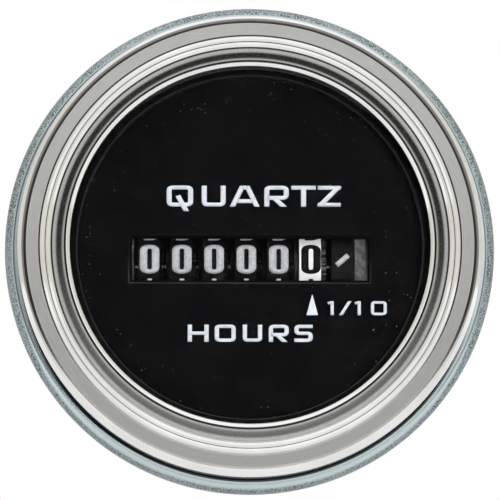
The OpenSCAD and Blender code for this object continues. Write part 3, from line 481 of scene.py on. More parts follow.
# Number wheels
# Six black moulded wheels carry white printed numbers, and the wheel of tenths has black ones on a white band.
# A seventh wheel has slanted marks, which show that the meter is running.
wheel_black = coat("wheel_black", 1200, (0.002, 0.002, 0.0022), (0.005, 0.005, 0.0055), (0.45, 0.6), relief=0.08,
    Specular_IOR_Level=0.05)
wheel_white = coat("wheel_white", 1200, (0.82, 0.82, 0.81), (0.9, 0.9, 0.89), (0.45, 0.6), relief=0.08)
# The white numbers and run marks are painted grey, a painted shade for their place in the recess behind the
# window
number_white_shaded = coat("number_white_shaded", 2500, (0.43, 0.44, 0.45), (0.56, 0.57, 0.58), (0.5, 0.7))
number_black = coat("number_black", 2500, (0.003, 0.003, 0.003), (0.008, 0.008, 0.008), (0.5, 0.7),
    Specular_IOR_Level=0.08)
number_w = 2.35
number_h = 3.55
number_stroke = 0.5
stem_stroke = 0.3
number_round = 0.55
number_stretch = 1.8
number_right = 0.1
number_up = 0.13
print_t = 0.02
print_lift = 0.01
print_step = 0.004
print_run = 0.3
wheel_order = ["tenths", "units", "tens", "hundreds", "thousands", "ten_thousands"]
run_axis = next(joint["pos_m"] for joint in frame["joints"] if joint["name"] == "run_turn")
wheel_r = (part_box("units_wheel")[1].z - run_axis[2]) / MM


def rounded(points, radius, closed=False):
    """A path with its corners rounded, and its straight runs divided so that it can follow a wheel."""
    count = len(points)
    path = []
    for i, corner in enumerate(points):
        if not closed and i in (0, count - 1):
            path.append(corner)
            continue
        before, after = points[i - 1], points[(i + 1) % count]
        ends = []
        for other in (before, after):
            length = math.dist(corner, other)
            share = min(radius, length / 2) / length
            ends.append([c + (o - c) * share for c, o in zip(corner, other)])
        for t in (0, 0.17, 0.33, 0.5, 0.67, 0.83, 1):
            path.append(tuple((1 - t) ** 2 * a + 2 * t * (1 - t) * c + t * t * b
                for a, c, b in zip(ends[0], corner, ends[1])))
    fine = []
    for here, there in zip(path, path[1:] + (path[:1] if closed else [])):
        parts = max(1, round(math.dist(here, there) / print_run))
        fine += [tuple(h + (t - h) * k / parts for h, t in zip(here, there)) for k in range(parts)]
    return fine if closed else fine + [path[-1]]


def printed(name, strokes, width):
    """Printed strokes of one width: each is a path and whether it is closed. The mesh lies flat, facing up,
    and each stroke lies a little above the one before it."""
    half = width / 2
    strips = []
    for order, (path, closed) in enumerate(strokes):
        outlines = [([(-half, 0), (half, 0), (half, print_t), (-half, print_t)], True), (path, closed)]
        curves = []
        for points, ring in outlines:
            pick()
            bpy.ops.curve.primitive_bezier_curve_add()
            curve = bpy.context.object
            curve.data.dimensions = "2D"
            curve.data.splines.clear()
            line = curve.data.splines.new("POLY")
            line.points.add(len(points) - 1)
            for point, (x, y) in zip(line.points, points):
                point.co = (x * MM, y * MM, 0, 1)
            line.use_cyclic_u = ring
            curves.append(curve)
        nib, strip = curves
        nib.data.fill_mode = "NONE"
        strip.data.bevel_mode = "OBJECT"
        strip.data.bevel_object = nib
        strip.data.use_fill_caps = True
        bpy.ops.object.convert(target="MESH")
        bpy.data.objects.remove(nib)
        strip.location = (0, 0, order * print_step * MM)
        strips.append(strip)
    piece = joined(name, strips)
    settle(piece)
    edit_all(piece)
    bpy.ops.mesh.remove_doubles(threshold=1e-7)
    close_edit()
    return piece


def number_strokes(digit):
    """Paths of one squared numeral in its own box, as centre lines of the stroke."""
    width = number_w / number_stretch
    left, right = number_stroke / 2, width - number_stroke / 2
    low, high = number_stroke / 2, number_h - number_stroke / 2
    mid = number_h / 2
    middle = width / 2
    foot, top = 0, number_h
    hook, bar = high - 0.5, mid - 0.3
    lines = {
        0: [([(left, low), (right, low), (right, high), (left, high)], True)],
        1: [([(middle, foot), (middle, top)], False)],
        2: [([(left, hook), (left, high), (right, high), (right, mid), (left, low), (width, low)], False)],
        3: [([(left, high), (right, high), (right, mid), (middle, mid)], False),
            ([(middle, mid), (right, mid), (right, low), (left, low)], False)],
        4: [([(left, top), (left, bar), (width, bar)], False), ([(right, top), (right, foot)], False)],
        5: [([(width, high), (left, high), (left, mid), (right, mid), (right, low), (0, low)], False)],
        6: [([(right, high), (left, high), (left, low), (right, low), (right, mid), (left, mid)], False)],
        7: [([(0, high), (right, high), (middle, foot)], False)],
        8: [([(left, low), (right, low), (right, mid), (left, mid)], True),
            ([(left, mid), (right, mid), (right, high), (left, high)], True)],
        9: [([(left, low), (right, low), (right, high), (left, high), (left, mid), (right, mid)], False)],
    }
    return [(rounded(path, number_round, closed), closed) for path, closed in lines[digit]]


def wrapped(piece, lift, place):
    """Rolls a flat print about the run shaft: its height becomes an arc at the given angle."""
    for vertex in piece.data.vertices:
        x, y, z = vertex.co
        reach = wheel_r * MM + lift * MM + z
        angle = y / (wheel_r * MM) + place
        vertex.co = (x, run_axis[1] - reach * math.cos(angle), run_axis[2] + reach * math.sin(angle))


white_tree = wheel_white.node_tree
white_spoke = vector_of(white_tree, "SUBTRACT", place_in(white_tree), (0, run_axis[1], run_axis[2]))
white_reach = vector_of(white_tree, "LENGTH", vector_of(white_tree, "MULTIPLY", white_spoke, (0, 1, 1)))
white_band = ramp(white_tree, white_reach, (wheel_r - 0.15) * MM, (wheel_r - 0.05) * MM)
feed(wheel_white, Base_Color=blend_color(white_tree, white_band, (0.012, 0.012, 0.013),
    fed(wheel_white, "Base Color")))

digits = []
for digit in range(10):
    numeral = printed("numeral", number_strokes(digit), stem_stroke if digit == 1 else number_stroke)
    numeral.scale = (number_stretch, 1, 1)
    settle(numeral, place=((number_right - number_w / 2) * MM, (number_up - number_h / 2) * MM, 0))
    wrapped(numeral, print_lift, -math.radians(36) * digit)
    digits.append(numeral)
number_ring = joined("number_ring", digits)
wheel_pitch = 3.87
tenths_x = 7.25
for place, wheel in enumerate(wheel_order):
    numbers = number_ring.copy()
    numbers.data = number_ring.data.copy()
    numbers.name = wheel + "_numbers"
    bpy.context.scene.collection.objects.link(numbers)
    settle(numbers, place=((tenths_x - place * wheel_pitch) * MM, 0, 0))
    if wheel == "tenths":
        dress(wheel_white, wheel + "_wheel")
        fixed_piece(numbers, number_black, "wheel_black", wheel)
    else:
        dress(wheel_black, wheel + "_wheel")
        fixed_piece(numbers, number_white_shaded, "wheel_white", wheel)
bpy.data.objects.remove(number_ring)

mark_count = 10
mark_half_w = 0.7
mark_half_h = 0.6
mark_stroke = 0.62
marks = []
for place in range(mark_count):
    slant = rounded([(-mark_half_w, -mark_half_h), (mark_half_w, mark_half_h)], 0)
    mark = printed("mark", [(slant, False)], mark_stroke)
    wrapped(mark, print_lift, -2 * math.pi * place / mark_count)
    marks.append(mark)
run_marks = joined("run_marks", marks)
settle(run_marks, place=((tenths_x + wheel_pitch) * MM, 0, 0))
fixed_piece(run_marks, number_white_shaded, "wheel_white", "run_train")
dress(wheel_black, "run_indicator_wheel")

# Shafts and gears
# The run shaft and the arbors are ground steel, the star wheel and the reduction wheel are cut brass.
# The small carry pinions and the coil's bobbin are moulded in natural nylon.
shaft_steel = coat("shaft_steel", 4000, (0.62, 0.62, 0.63), (0.75, 0.75, 0.76), (0.18, 0.28), metallic=1.0)
gear_brass = coat("gear_brass", 1800, (0.6, 0.44, 0.18), (0.78, 0.6, 0.29), (0.25, 0.42), metallic=1.0,
    relief=0.08)
nylon = coat("natural_nylon", 900, (0.78, 0.74, 0.65), (0.86, 0.83, 0.75), (0.42, 0.58), relief=0.05)
dress(shaft_steel, "run_shaft", "carry_shaft", "reduction_arbor", "armature_pin")
dress(gear_brass, "star_wheel", "reduction_wheel")
dress(nylon, "coil_bobbin", *["carry_pinion_" + str(k) for k in range(1, 6)])

# Electromagnet
# A coil of enamelled copper wire sits on an iron core between a bent yoke and a pole plate.
# The iron armature rocks beside the star wheel and is brought back by a leaf of bronze.
soft_iron = coat("soft_iron", 1300, (0.26, 0.26, 0.28), (0.44, 0.44, 0.46), (0.4, 0.6), metallic=1.0, relief=0.15)
bronze = coat("spring_bronze", 1500, (0.52, 0.33, 0.18), (0.66, 0.45, 0.28), (0.25, 0.4), metallic=1.0)
tinned = coat("tinned_wire", 2500, (0.62, 0.62, 0.63), (0.78, 0.78, 0.79), (0.3, 0.45), metallic=1.0)
copper = finish("enamelled_copper", (0.5, 0.22, 0.09), 0.3, 0.8)
copper_tree = copper.node_tree
copper_turns = add_node(copper_tree, "TexWave", {"Vector": place_in(copper_tree), "Scale": 1100.0,
    "Distortion": 0.6, "Detail": 1.0}, bands_direction="X").outputs["Fac"]
feed(copper, Base_Color=blend_color(copper_tree, copper_turns, (0.22, 0.08, 0.03), (0.62, 0.28, 0.12)))
bumped(copper, copper_turns, 0.6, 0.05)
dress(soft_iron, "armature", "coil_core", "yoke", "pole_plate")
dress(bronze, "return_spring")
dress(tinned, "coil_leads")
dress(copper, "coil_winding")

# Circuit board
# A round board of lacquered laminate carries the crystal in its drawn can, the divider chip and a capacitor.
# It is screwed to the carrier's legs from behind.
board_green = coat("board_green", 700, (0.035, 0.16, 0.08), (0.06, 0.24, 0.12), (0.3, 0.5), relief=0.1)
can_metal = coat("can_metal", 1600, (0.64, 0.64, 0.65), (0.78, 0.78, 0.79), (0.22, 0.36), metallic=1.0)
chip_black = coat("chip_black", 2600, (0.018, 0.018, 0.019), (0.04, 0.04, 0.042), (0.5, 0.75), relief=0.3)
sleeve_blue = coat("capacitor_sleeve", 800, (0.025, 0.05, 0.13), (0.04, 0.08, 0.2), (0.22, 0.38))
dress(board_green, "circuit_board")
dress(can_metal, "quartz_crystal")
dress(chip_black, "divider_chip")
dress(sleeve_blue, "capacitor")

# Terminals
# Two brass studs pass through the back in sleeves of brown fibre, each with a flat and a spring washer and a nut.
# Their heads are inside the case, and their thinner tails are soldered to the board.
terminal_brass = coat("terminal_brass", 700, (0.64, 0.48, 0.21), (0.75, 0.58, 0.28), (0.22, 0.36), metallic=1.0,
    relief=0.03)
brown_fibre = coat("brown_fibre", 1400, (0.18, 0.09, 0.045), (0.32, 0.18, 0.1), (0.55, 0.8), relief=0.3)
terminal_tip = -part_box("terminal_studs")[1].y / MM
terminal_tail = -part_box("terminal_studs")[0].y / MM
sleeve_t = 1.4
head_level = case_back + case_wall + sleeve_t
head_t = 1.5
head_chamfer = 0.3
head_r = 3.55
tail_r = 1.0
tail_chamfer = 0.2
head_top = head_level + head_t
head = [(stud_r, case_back), (stud_r, head_level), (head_r, head_level), (head_r, head_top - head_chamfer),
    (head_r - head_chamfer, head_top), (tail_r, head_top), (tail_r, terminal_tail - tail_chamfer),
    (tail_r - tail_chamfer, terminal_tail), (0, terminal_tail)]
terminals = rod_pair("terminal_screws", (terminal_x, 0, 0), terminal_tip, case_back, head)
fixed_piece(terminals, terminal_brass, "terminal_brass", "housing", "terminal_studs")
dress(terminal_brass, "terminal_nuts")
dress(brown_fibre, "inner_insulators", "outer_insulators")
dress(screw_steel, "terminal_washers", "terminal_lock_washers")

# Dial
# The dial is a flat plate painted dull black, with a long window whose edge is broken.
# A little pale dust lies on it, more of it towards the edge.
dial_low, dial_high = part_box("dial_plate")
dial_r = dial_high.x / MM
dial_front = -dial_low.y / MM
dial_t = (dial_high.y - dial_low.y) / MM
window_w = 28.9
window_h = 5.8
window_y = run_axis[2] / MM
window_bevel = 0.36
SIDE_CUTS = ROUND_STEPS // 4 - 1
dial_black = coat("dial_black", 260, (0.0012, 0.0012, 0.0015), (0.003, 0.003, 0.0033), (0.55, 0.7),
    Specular_IOR_Level=0.02)

# Dust: single pale specks in some cells of a fine pattern
dust_group, dust_in = effect_group("dust_specks", {"Scale": 900.0, "Share": 0.05}, ("Specks",))
dust_cells = add_node(dust_group, "TexVoronoi", {"Vector": place_in(dust_group), "Scale": dust_in["Scale"]},
    feature="F1").outputs
dust_chance = add_node(dust_group, "SeparateColor", {0: dust_cells["Color"]}).outputs
dust_some = sum_of(dust_group, "LESS_THAN", dust_chance[0], dust_in["Share"])
dust_some = times(dust_group, dust_some, ramp(dust_group, dust_chance[1], 0.35, 1.0, 0.04, 1.0))
dust_dot = ramp(dust_group, dust_cells["Distance"], 0.16, 0.08)
give(dust_group, Specks=times(dust_group, dust_some, dust_dot))

dial_tree = dial_black.node_tree
dial_ring = effect(dial_tree, ring_group)
dial_share = ramp(dial_tree, dial_ring["Radius"], 13.0, 20.5, 0.02, 0.2)
dial_dust = effect(dial_tree, dust_group, Scale=2400.0, Share=dial_share)
dial_parts = add_node(dial_tree, "SeparateXYZ", {0: place_in(dial_tree)}).outputs
dial_away = []
for axis, middle, half in (("X", 0.0, window_w / 2), ("Z", window_y, window_h / 2)):
    across = sum_of(dial_tree, "SUBTRACT", dial_parts[axis], middle * MM)
    dial_away.append(sum_of(dial_tree, "SUBTRACT", sum_of(dial_tree, "ABSOLUTE", across), half * MM))
dial_edge = sum_of(dial_tree, "ABSOLUTE", sum_of(dial_tree, "MAXIMUM", *dial_away))
# Painted highlight: a faint pale line along the window's broken edge, strongest at the bottom and faint at the
# top
dial_catchlight_fade = ramp(dial_tree, dial_parts["Z"], (window_y + 0.5) * MM, (window_y - 2.2) * MM, 0.12, 1.0)
dial_edge = times(dial_tree, ramp(dial_tree, dial_edge, 0.11 * MM, 0.03 * MM), dial_catchlight_fade)
feed(dial_black, Base_Color=layered(dial_tree, fed(dial_black, "Base Color"), (dial_edge, (0.03, 0.031, 0.032)),
    (dial_dust["Specks"], (0.5, 0.51, 0.52))))

pick()
bpy.ops.mesh.primitive_plane_add(size=MM, rotation=(math.pi / 2, 0, 0),
    location=(0, -dial_front * MM, window_y * MM))
dial = bpy.context.object
dial.name = "dial"
dial.scale = (window_w - 2 * window_bevel, window_h - 2 * window_bevel, 1)
bpy.ops.object.transform_apply(location=True, rotation=True, scale=True)
edit_all(dial)
bpy.ops.mesh.delete(type="ONLY_FACE")
take_all()
bpy.ops.mesh.subdivide(number_cuts=SIDE_CUTS)
bpy.ops.mesh.primitive_circle_add(vertices=ROUND_STEPS, radius=dial_r * MM, rotation=(math.pi / 2, 0, 0),
    location=(0, -dial_front * MM, 0))
take_all()
bpy.ops.mesh.bridge_edge_loops()
close_edit()
if dial.data.polygons[0].normal.y > 0:
    edit_all(dial)
    bpy.ops.mesh.flip_normals()
    bpy.ops.object.mode_set(mode="OBJECT")
apply_modifier(dial, "SOLIDIFY", thickness=dial_t * MM, offset=-1)
edit_all(dial)
bpy.ops.mesh.select_all(action="DESELECT")
bpy.ops.object.mode_set(mode="OBJECT")
for edge in dial.data.edges:
    ends = [dial.data.vertices[i].co for i in edge.vertices]
    at_front = all(abs(end.y + dial_front * MM) < 1e-6 for end in ends)
    at_window = all(abs(end.x) < (window_w / 2 + 0.01) * MM and
        abs(end.z - window_y * MM) < (window_h / 2 + 0.01) * MM for end in ends)
    edge.select = at_front and at_window
bpy.ops.object.mode_set(mode="EDIT")
bpy.ops.mesh.bevel(offset=window_bevel * MM, segments=1)
bpy.ops.object.mode_set(mode="OBJECT")
bpy.ops.object.shade_smooth_by_angle(angle=math.radians(30))
fixed_piece(dial, dial_black, "dial_black", "housing", "dial_plate")

# Printing on the dial
# The words, the pointer and the fraction are screen printed in a pale ink, in wide squared letters.
# They only say what the meter counts, and which wheel counts tenths.
ink = coat("dial_ink", 2200, (0.68, 0.73, 0.79), (0.78, 0.82, 0.87), (0.5, 0.7))
letter_stretch = 1.3
tail_cut = 0.22


def letter_strokes(letter, w, h, s):
    """Paths of one squared letter in a box, as centre lines of a stroke of width s."""
    left, right, low, high = s / 2, w - s / 2, s / 2, h - s / 2
    mid, middle, bend = h / 2, w / 2, 0.15 * h
    ring = [([(left, low), (right, low), (right, high), (left, high)], True)]
    stems = [([(left, 0), (left, h)], False), ([(right, 0), (right, h)], False)]
    waist = 0.42 * h
    lines = {
        "Q": ring + [([(0.42 * w, 0.52 * h), (0.78 * w, -0.3 * h)], False)],
        "O": ring,
        "0": ring,
        "U": [([(left, h), (left, low), (right, low), (right, h)], False)],
        "A": [([(0.1 * s, -0.12 * h), (middle - 0.2 * s, 1.1 * h)], False),
            ([(w - 0.1 * s, -0.12 * h), (middle + 0.2 * s, 1.1 * h)], False),
            ([(middle - 0.5 * s, high), (middle + 0.5 * s, high)], False),
            ([(0.24 * w, 0.26 * h), (0.76 * w, 0.26 * h)], False)],
        "R": [([(left, 0), (left, high), (right, high), (right, waist), (left, waist)], False),
            ([(0.4 * w, waist), (w + 0.35 * s, -0.3 * h)], False)],
        "T": [([(0, high), (w, high)], False), ([(middle, 0), (middle, high)], False)],
        "Z": [([(0, high), (w, high)], False), ([(0, low), (w, low)], False),
            ([(w - 0.2 * s, h), (0.2 * s, 0)], False)],
        "H": stems + [([(left, mid), (right, mid)], False)],
        "S": [([(w, high), (left, high), (left, mid), (right, mid), (right, low), (0, low)], False)],
        "1": [([(right, 0), (right, h)], False), ([(right, high), (0, high - 0.35 * s)], False)],
        "/": [([(-0.3 * w, -0.3 * h), (1.3 * w, 1.3 * h)], False)],
    }
    return [(rounded(path, bend, closed), closed) for path, closed in lines[letter]]


def word(name, letters, foot, height, stroke):
    """A printed word: each letter has its left and right edge on the dial, in millimetres."""
    parts = []
    for letter, left, right in letters:
        part = printed(name, letter_strokes(letter, (right - left) / letter_stretch, height, stroke), stroke)
        edit_all(part)
        for level, way in ((-tail_cut * height if letter == "Q" else 0, -1), (height, 1)):
            take_all()
            bpy.ops.mesh.bisect(plane_co=(0, level * MM, 0), plane_no=(0, way, 0), clear_outer=True,
                use_fill=True, threshold=1e-8)
        bpy.ops.object.mode_set(mode="OBJECT")
        part.scale = (letter_stretch, 1, 1)
        settle(part, place=(left * MM, -(dial_front + print_lift) * MM, foot * MM), turn=(math.pi / 2, 0, 0))
        parts.append(part)
    fixed_piece(joined(name, parts), ink, "wheel_white", "housing")


word("upper_word", [("Q", -9.97, -6.79), ("U", -5.77, -2.89), ("A", -2.29, 1.07), ("R", 1.73, 4.67),
    ("T", 4.97, 7.91), ("Z", 8.15, 10.91)], 5.02, 2.53, 0.47)
word("lower_word", [("H", -7.42, -4.91), ("O", -4.19, -1.68), ("U", -0.85, 1.48), ("R", 2.26, 4.65),
    ("S", 5.31, 7.51)], -11.27, 2.06, 0.4)
word("tenth_fraction", [("1", 9.32, 10.03), ("/", 10.87, 11.94), ("1", 12.55, 13.26), ("0", 14.46, 16.37)],
    -8.05, 1.68, 0.3)

pointer_top = (7.46, -5.52)
pointer_base = -8.05
pointer_half_w = 0.69
pointer_round = 0.06
pick()
bpy.ops.mesh.primitive_circle_add(vertices=3, radius=MM, fill_type="NGON")
pointer = bpy.context.object
pointer.name = "pointer"
pointer_corners = [pointer_top, (pointer_top[0] - pointer_half_w, pointer_base),
    (pointer_top[0] + pointer_half_w, pointer_base)]
for vertex, (x, y) in zip(pointer.data.vertices, pointer_corners):
    vertex.co = (x * MM, y * MM, 0)
settle(pointer, place=(0, -(dial_front + print_lift) * MM, 0), turn=(math.pi / 2, 0, 0))
edit_all(pointer)
bpy.ops.mesh.bevel(offset=pointer_round * MM, segments=2, affect="VERTICES")
take_all()
bpy.ops.mesh.extrude_region_move(TRANSFORM_OT_translate={"value": (0, -print_t * MM, 0)})
close_edit()
fixed_piece(pointer, ink, "wheel_white", "housing")

# Spacer ring
# A black moulded ring lies loose between the dial's edge and the lens, and holds the glass off the dial.
# Its inner edge is broken, and a thin line of light is painted on it as a painted highlight.
ring_low, ring_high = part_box("spacer_ring")
ring_top = -ring_low.y / MM
ring_foot = -ring_high.y / MM
ring_r = ring_high.x / MM
ring_ri = 20.6
ring_edge = 0.12
ring_black = coat("ring_black", 1500, (0.003, 0.003, 0.003), (0.008, 0.008, 0.008), (0.35, 0.5), relief=0.1,
    Specular_IOR_Level=0.2)
ring_tree = ring_black.node_tree
ring_around = effect(ring_tree, ring_group)
# Painted highlight: the broken inner edge is coloured lighter than the rest of the ring
ring_edge_highlight = ring_mask(ring_tree, ring_around["Radius"], ring_ri + ring_edge / 2, ring_edge / 2, 0.08)
feed(ring_black, Base_Color=layered(ring_tree, fed(ring_black, "Base Color"), (ring_edge_highlight, (0.02, 0.02, 0.02))))
spacer = turned("spacer", [(ring_ri, ring_foot), (ring_ri, ring_top - ring_edge), (ring_ri + ring_edge, ring_top),
    (ring_r, ring_top), (ring_r, ring_foot)])
fixed_piece(spacer, ring_black, "black_ring", "housing", "spacer_ring")

# Lens
# A clear round glass with a ground edge, held between the spacer ring and the seal under the bezel's front.
# It has a faint film and a few specks of dust on it.
glass = finish("lens_glass", (1.0, 1.0, 1.0), 0.02, IOR=1.45, Transmission_Weight=1.0, Specular_IOR_Level=0.25)
glass_tree = glass.node_tree
glass_dust = effect(glass_tree, dust_group, Scale=1300.0, Share=0.02)
feed(glass, Roughness=ramp(glass_tree, glass_dust["Specks"], 0.0, 1.0, 0.015, 0.5))


def mixed(tree, share, first, second):
    """Mixes two shaders by a share."""
    return add_node(tree, "MixShader", {0: share, 1: first, 2: second}).outputs[0]


glass_path = add_node(glass_tree, "LightPath").outputs
glass_open = sum_of(glass_tree, "MAXIMUM", glass_path["Is Shadow Ray"], glass_path["Is Diffuse Ray"])
glass_pass = mixed(glass_tree, glass_open, shader_of(glass).outputs[0],
    add_node(glass_tree, "BsdfTransparent").outputs[0])
glass_tree.links.new(glass_pass, glass_tree.nodes["Material Output"].inputs["Surface"])
dress(glass, "lens")

# Bezel
# One pressed ring of brass sheet, bright plated: a round rim, a satin land, two beads, a hollow and a lip.
# Its pressed lines, a stripe in the hollow, the valley and the rim's inner slope are darkened with painted
# reflection and shade, most at the top; the dull side wall is painted near-black as shade, and the land is
# painted lighter at the top.
bezel_low, bezel_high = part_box("bezel")
bezel_foot = -bezel_high.y / MM
foot_r = bezel_high.x / MM
bezel_wall = 0.7
foot_w = 0.8
bezel_r = foot_r - foot_w
rim_r = 0.9
groove_w = 0.14
line_r = 0.11
land_w = 1.5
bead_w = 0.66
bead_h = 0.2
cove_w = 1.45
cove_depth = 0.2
lip_w = 0.52
lip_drop = 0.45
face = -bezel_low.y / MM - lip_w / 2
under = face - bezel_wall
land_r = bezel_r - rim_r - groove_w
bead_r = land_r - land_w - groove_w
bead_mid = bead_r - bead_w
bead_in = bead_mid - bead_w
cove_r = bead_in - groove_w
cove_in = cove_r - cove_w
lip_r = cove_in - groove_w
opening_r = lip_r - lip_w


def bead(outer_r):
    """One bead with a narrow crown, from its outer to its inner edge."""
    places = [k / 10 - 1 for k in range(1, 20)]
    return [(outer_r - bead_w * (1 + u) / 2, face + bead_h * (1 - abs(u) ** 1.25)) for u in places]


def pressed_line(middle_r):
    """A line pressed into the face, from its outer to its inner edge."""
    return arc((middle_r, face), line_r, 360, 180, 8)


cove_circle = (cove_w ** 2 / 4 + cove_depth ** 2) / (2 * cove_depth)
cove_half = math.degrees(math.asin(cove_w / 2 / cove_circle))
line_places = [bezel_r - rim_r - groove_w / 2, land_r - land_w - groove_w / 2, bead_in - groove_w / 2,
    cove_in - groove_w / 2]
cove_middle = ((cove_r + cove_in) / 2, face + cove_circle - cove_depth)
bezel_ri = bezel_r - bezel_wall
bezel_outline = (
    [(bezel_ri, bezel_foot), (foot_r, bezel_foot), (foot_r, bezel_foot + bezel_wall),
     (bezel_r, bezel_foot + bezel_wall)]
    + arc((bezel_r - rim_r, face - rim_r), rim_r, 0, 87, 24)
    + pressed_line(line_places[0])
    + [(land_r - land_w * k / 4, face) for k in (1, 2, 3)]
    + pressed_line(line_places[1])
    + bead(bead_r)
    + bead(bead_mid)
    + pressed_line(line_places[2])
    + arc(cove_middle, cove_circle, 270 + cove_half - 3, 270 - cove_half + 3, 20)
    + pressed_line(line_places[3])
    + [(lip_r - 0.06, face + 0.12), (lip_r - 0.14, face + 0.19), (lip_r - 0.22, face + 0.17),
       (opening_r + 0.06, face - 0.02), (opening_r, face - 0.1), (opening_r, under - lip_drop),
       (lip_r, under - lip_drop), (lip_r, under), (bezel_ri, under)]
)
bezel = turned("bezel_ring", bezel_outline, steps=256)

stripe_r = 22.68
reflection_ring_r = bezel_r - rim_r + 0.16
wall_top = face - 0.75 * rim_r
chrome = finish("bright_plate", (0.94, 0.94, 0.93), 0.1, 1.0)
chrome_tree = chrome.node_tree
chrome_ring = effect(chrome_tree, ring_group)
chrome_grain = effect(chrome_tree, grain_group, Scale=4200.0)
chrome_film = effect(chrome_tree, grain_group, Scale=160.0)


def on_ring(middle, half_w, soft, low=None, high=None, at_low=1.0, at_high=1.0):
    """A ring on the bezel, which may be fainter below one height than above another."""
    mask = ring_mask(chrome_tree, chrome_ring["Radius"], middle, half_w, soft)
    if low is None:
        return mask
    return times(chrome_tree, mask, ramp(chrome_tree, chrome_ring["Height"], low, high, at_low, at_high))


land_mid = land_r - land_w / 2
# Painted reflection: dark pressed lines, faint at the bottom and strong at the top; the innermost line is dark
# all round
chrome_line_reflections = on_ring(line_places[3], 0.06, 0.06)
for place in line_places:
    chrome_line_reflections = sum_of(chrome_tree, "MAXIMUM", chrome_line_reflections,
        on_ring(place, 0.05, 0.07, -22.0, -6.0, 0.12, 0.95))
chrome_land = on_ring(land_mid, land_w / 2 - 0.2, 0.22)
chrome_cove = on_ring((cove_r + cove_in) / 2, cove_w / 2 - 0.1, 0.15)
# Painted shade: a grey line in the valley between the beads, fainter at the bottom
chrome_valley_shade = on_ring(bead_mid, 0.05, 0.12, -22.0, -4.0, 0.3, 1.0)
# Painted reflection: a dark ring on the rim's inner slope, stronger towards the top and none at the bottom
chrome_rim_reflection = on_ring(reflection_ring_r, 0.14, 0.16, -20.0, -4.0, 0.0, 0.8)
# Painted reflection: a dark stripe along the hollow, fainter at the bottom
chrome_cove_reflection = times(chrome_tree, on_ring(stripe_r, 0.2, 0.34, -22.0, 4.0, 0.6, 1.0),
    ramp(chrome_tree, chrome_grain["Relief"], 0.3, 0.6, 0.85, 1.0))
# Painted shade: the side wall below the rim is near-black all round, with faint turning marks
chrome_wall_shade = ramp(chrome_tree, chrome_ring["Level"], wall_top, wall_top - 0.7)
# Painted light: the satin land is lighter towards the top, with real turning marks over it
chrome_land_light_and_marks = sum_of(chrome_tree, "ADD", ramp(chrome_tree, chrome_ring["Height"], -24.0, 26.0, 0.0, 0.75),
    ramp(chrome_tree, chrome_ring["Marks"], 0.3, 0.7, -0.12, 0.12))
chrome_color = layered(chrome_tree,
    blend_color(chrome_tree, chrome_film["Mottle"], (0.88, 0.88, 0.87), (0.95, 0.95, 0.94)),
    (chrome_land, blend_color(chrome_tree, chrome_land_light_and_marks, (0.62, 0.62, 0.595), (0.9, 0.9, 0.88))),
    (chrome_cove, blend_color(chrome_tree, chrome_grain["Mottle"], (0.57, 0.57, 0.55), (0.64, 0.64, 0.62))),
    (chrome_valley_shade, (0.74, 0.74, 0.73)), (chrome_rim_reflection, (0.1, 0.1, 0.095)),
    (chrome_cove_reflection, (0.025, 0.025, 0.025)), (chrome_line_reflections, (0.05, 0.045, 0.04)),
    (chrome_wall_shade, blend_color(chrome_tree, chrome_ring["Marks"], (0.01, 0.01, 0.01), (0.05, 0.05, 0.05))))
chrome_satin = sum_of(chrome_tree, "MAXIMUM", on_ring(land_mid, land_w / 2, 0.06), chrome_cove)
chrome_rough = sum_of(chrome_tree, "MAXIMUM", ramp(chrome_tree, chrome_satin, 0.0, 1.0, 0.1, 0.5),
    times(chrome_tree, chrome_wall_shade, 0.38))
feed(chrome, Base_Color=chrome_color, Roughness=chrome_rough)
bumped(chrome, chrome_grain["Relief"], 0.05)
fixed_piece(bezel, chrome, "bright_chrome", "housing", "bezel")

# Floor, light and camera
# A pale floor below, a white surround, greyer at the sides and dim behind the viewer, and three soft lamps.
# The camera looks from the front, a little from below and from the left.
floor_level = -0.078
floor_w = 3
pick()
bpy.ops.mesh.primitive_plane_add(size=floor_w, location=(0, 0, floor_level))
floor = bpy.context.object
floor.name = "floor"
floor_pale = coat("floor_pale", 40, (0.65, 0.65, 0.65), (0.67, 0.67, 0.67), (0.8, 0.8))
floor_tree = floor_pale.node_tree
floor_path = add_node(floor_tree, "LightPath").outputs
floor_seen = sum_of(floor_tree, "MAXIMUM", floor_path["Is Camera Ray"], floor_path["Is Glossy Ray"])
floor_seen = sum_of(floor_tree, "MAXIMUM", floor_seen, floor_path["Is Transmission Ray"])
floor_white = add_node(floor_tree, "Emission", {"Color": (1.0, 1.0, 1.0, 1), "Strength": 1.0}).outputs[0]
floor_far = vector_of(floor_tree, "LENGTH", place_in(floor_tree))
floor_share = times(floor_tree, floor_seen, ramp(floor_tree, floor_far, 0.15, 0.6, 0.7, 1.0))
floor_mix = mixed(floor_tree, floor_share, shader_of(floor_pale).outputs[0], floor_white)
floor_dull = add_node(floor_tree, "BsdfDiffuse", {"Color": (0.04, 0.04, 0.04, 1)}).outputs[0]
floor_mix = mixed(floor_tree, times(floor_tree, floor_path["Is Diffuse Ray"], 0.7), floor_mix, floor_dull)
floor_under = add_node(floor_tree, "NewGeometry").outputs["Backfacing"]
floor_mix = mixed(floor_tree, floor_under, floor_mix, add_node(floor_tree, "BsdfTransparent").outputs[0])
floor_tree.links.new(floor_mix, floor_tree.nodes["Material Output"].inputs["Surface"])
floor.data.materials.append(floor_pale)

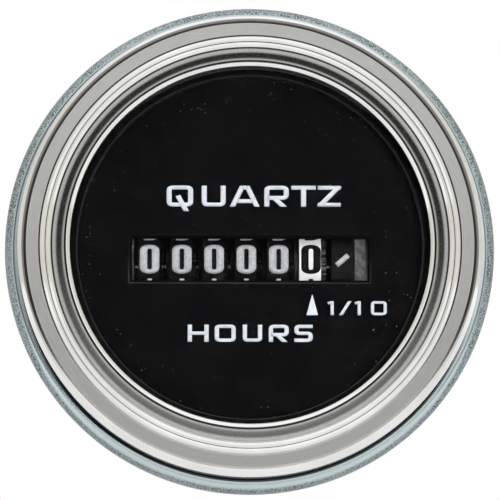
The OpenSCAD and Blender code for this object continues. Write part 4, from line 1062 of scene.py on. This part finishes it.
world = bpy.data.worlds.new("surround")
bpy.context.scene.world = world
world.use_nodes = True
sky = world.node_tree
sky_light = sky.nodes["Background"]
sky_path = add_node(sky, "LightPath").outputs
sky_way = add_node(sky, "TexCoord").outputs["Generated"]
sky_front = vector_of(sky, "DOT_PRODUCT", sky_way, (0, -1, 0))
dim_inner = math.cos(math.radians(12))
dim_outer = math.cos(math.radians(33))
sky_dim = ramp(sky, sky_front, dim_outer, dim_inner)
sky_back = ramp(sky, sky_front, -0.1, -0.75)
sky_mirror = blend_color(sky, sky_back, (1.0, 1.0, 1.0), (0.7, 0.71, 0.72))
sky_across = sum_of(sky, "ABSOLUTE", add_node(sky, "SeparateXYZ", {0: sky_way}).outputs["X"])
sky_mirror = blend_color(sky, ramp(sky, sky_across, 0.3, 0.8), sky_mirror, (0.7, 0.685, 0.63))
sky_mirror = blend_color(sky, sky_dim, sky_mirror, (0.012, 0.012, 0.012))
sky_soft = (0.26, 0.26, 0.27)
sky_bright = sum_of(sky, "MAXIMUM", sky_path["Is Glossy Ray"], sky_path["Is Transmission Ray"])
sky_color = blend_color(sky, sky_bright, sky_soft, sky_mirror)
sky_color = blend_color(sky, sky_path["Is Camera Ray"], sky_color, (1.0, 1.0, 1.0))
sky.links.new(sky_color, sky_light.inputs["Color"])
sky_light.inputs["Strength"].default_value = 1.0

lamps = (
    ("key", "AREA", (-0.12, -0.68, 0.64), {"size": 0.7, "energy": 4.8}),
    ("back", "AREA", (0.4, 0.75, 0.55), {"size": 0.6, "energy": 4.0}),
    ("fill", "SPOT", (0.12, -0.75, -0.03), {"energy": 14.0, "shadow_soft_size": 0.03, "spot_blend": 0.6,
        "spot_size": math.radians(14)}),
)
for name, kind, place, settings in lamps:
    bpy.ops.object.light_add(type=kind, location=place)
    lamp = bpy.context.object
    lamp.name = name
    for key, value in settings.items():
        setattr(lamp.data, key, value)
    lamp.rotation_euler = (-lamp.location).to_track_quat("-Z", "Y").to_euler()
    lamp.visible_glossy = False
    lamp.visible_camera = False

camera_distance = 0.45
camera_rise = math.radians(-7.5)
camera_side = math.radians(-0.8)
aim_level = 1.8 * MM
view_w = 0.06
sensor_w = 36
frame_shift = 0.34 / 500
camera_data = bpy.data.cameras.new("camera")
camera = bpy.data.objects.new("camera", camera_data)
bpy.context.scene.collection.objects.link(camera)
camera.location = (camera_distance * math.cos(camera_rise) * math.sin(camera_side),
    -aim_level - camera_distance * math.cos(camera_rise) * math.cos(camera_side),
    camera_distance * math.sin(camera_rise))
camera.rotation_euler = (math.pi / 2 - camera_rise, 0, camera_side)
camera_data.sensor_width = sensor_w
camera_data.lens = sensor_w * camera_distance / view_w
camera_data.shift_x = frame_shift
camera_data.shift_y = -frame_shift
camera_data.clip_start = 0.01
bpy.context.scene.camera = camera
bpy.context.scene.view_settings.view_transform = "Standard"
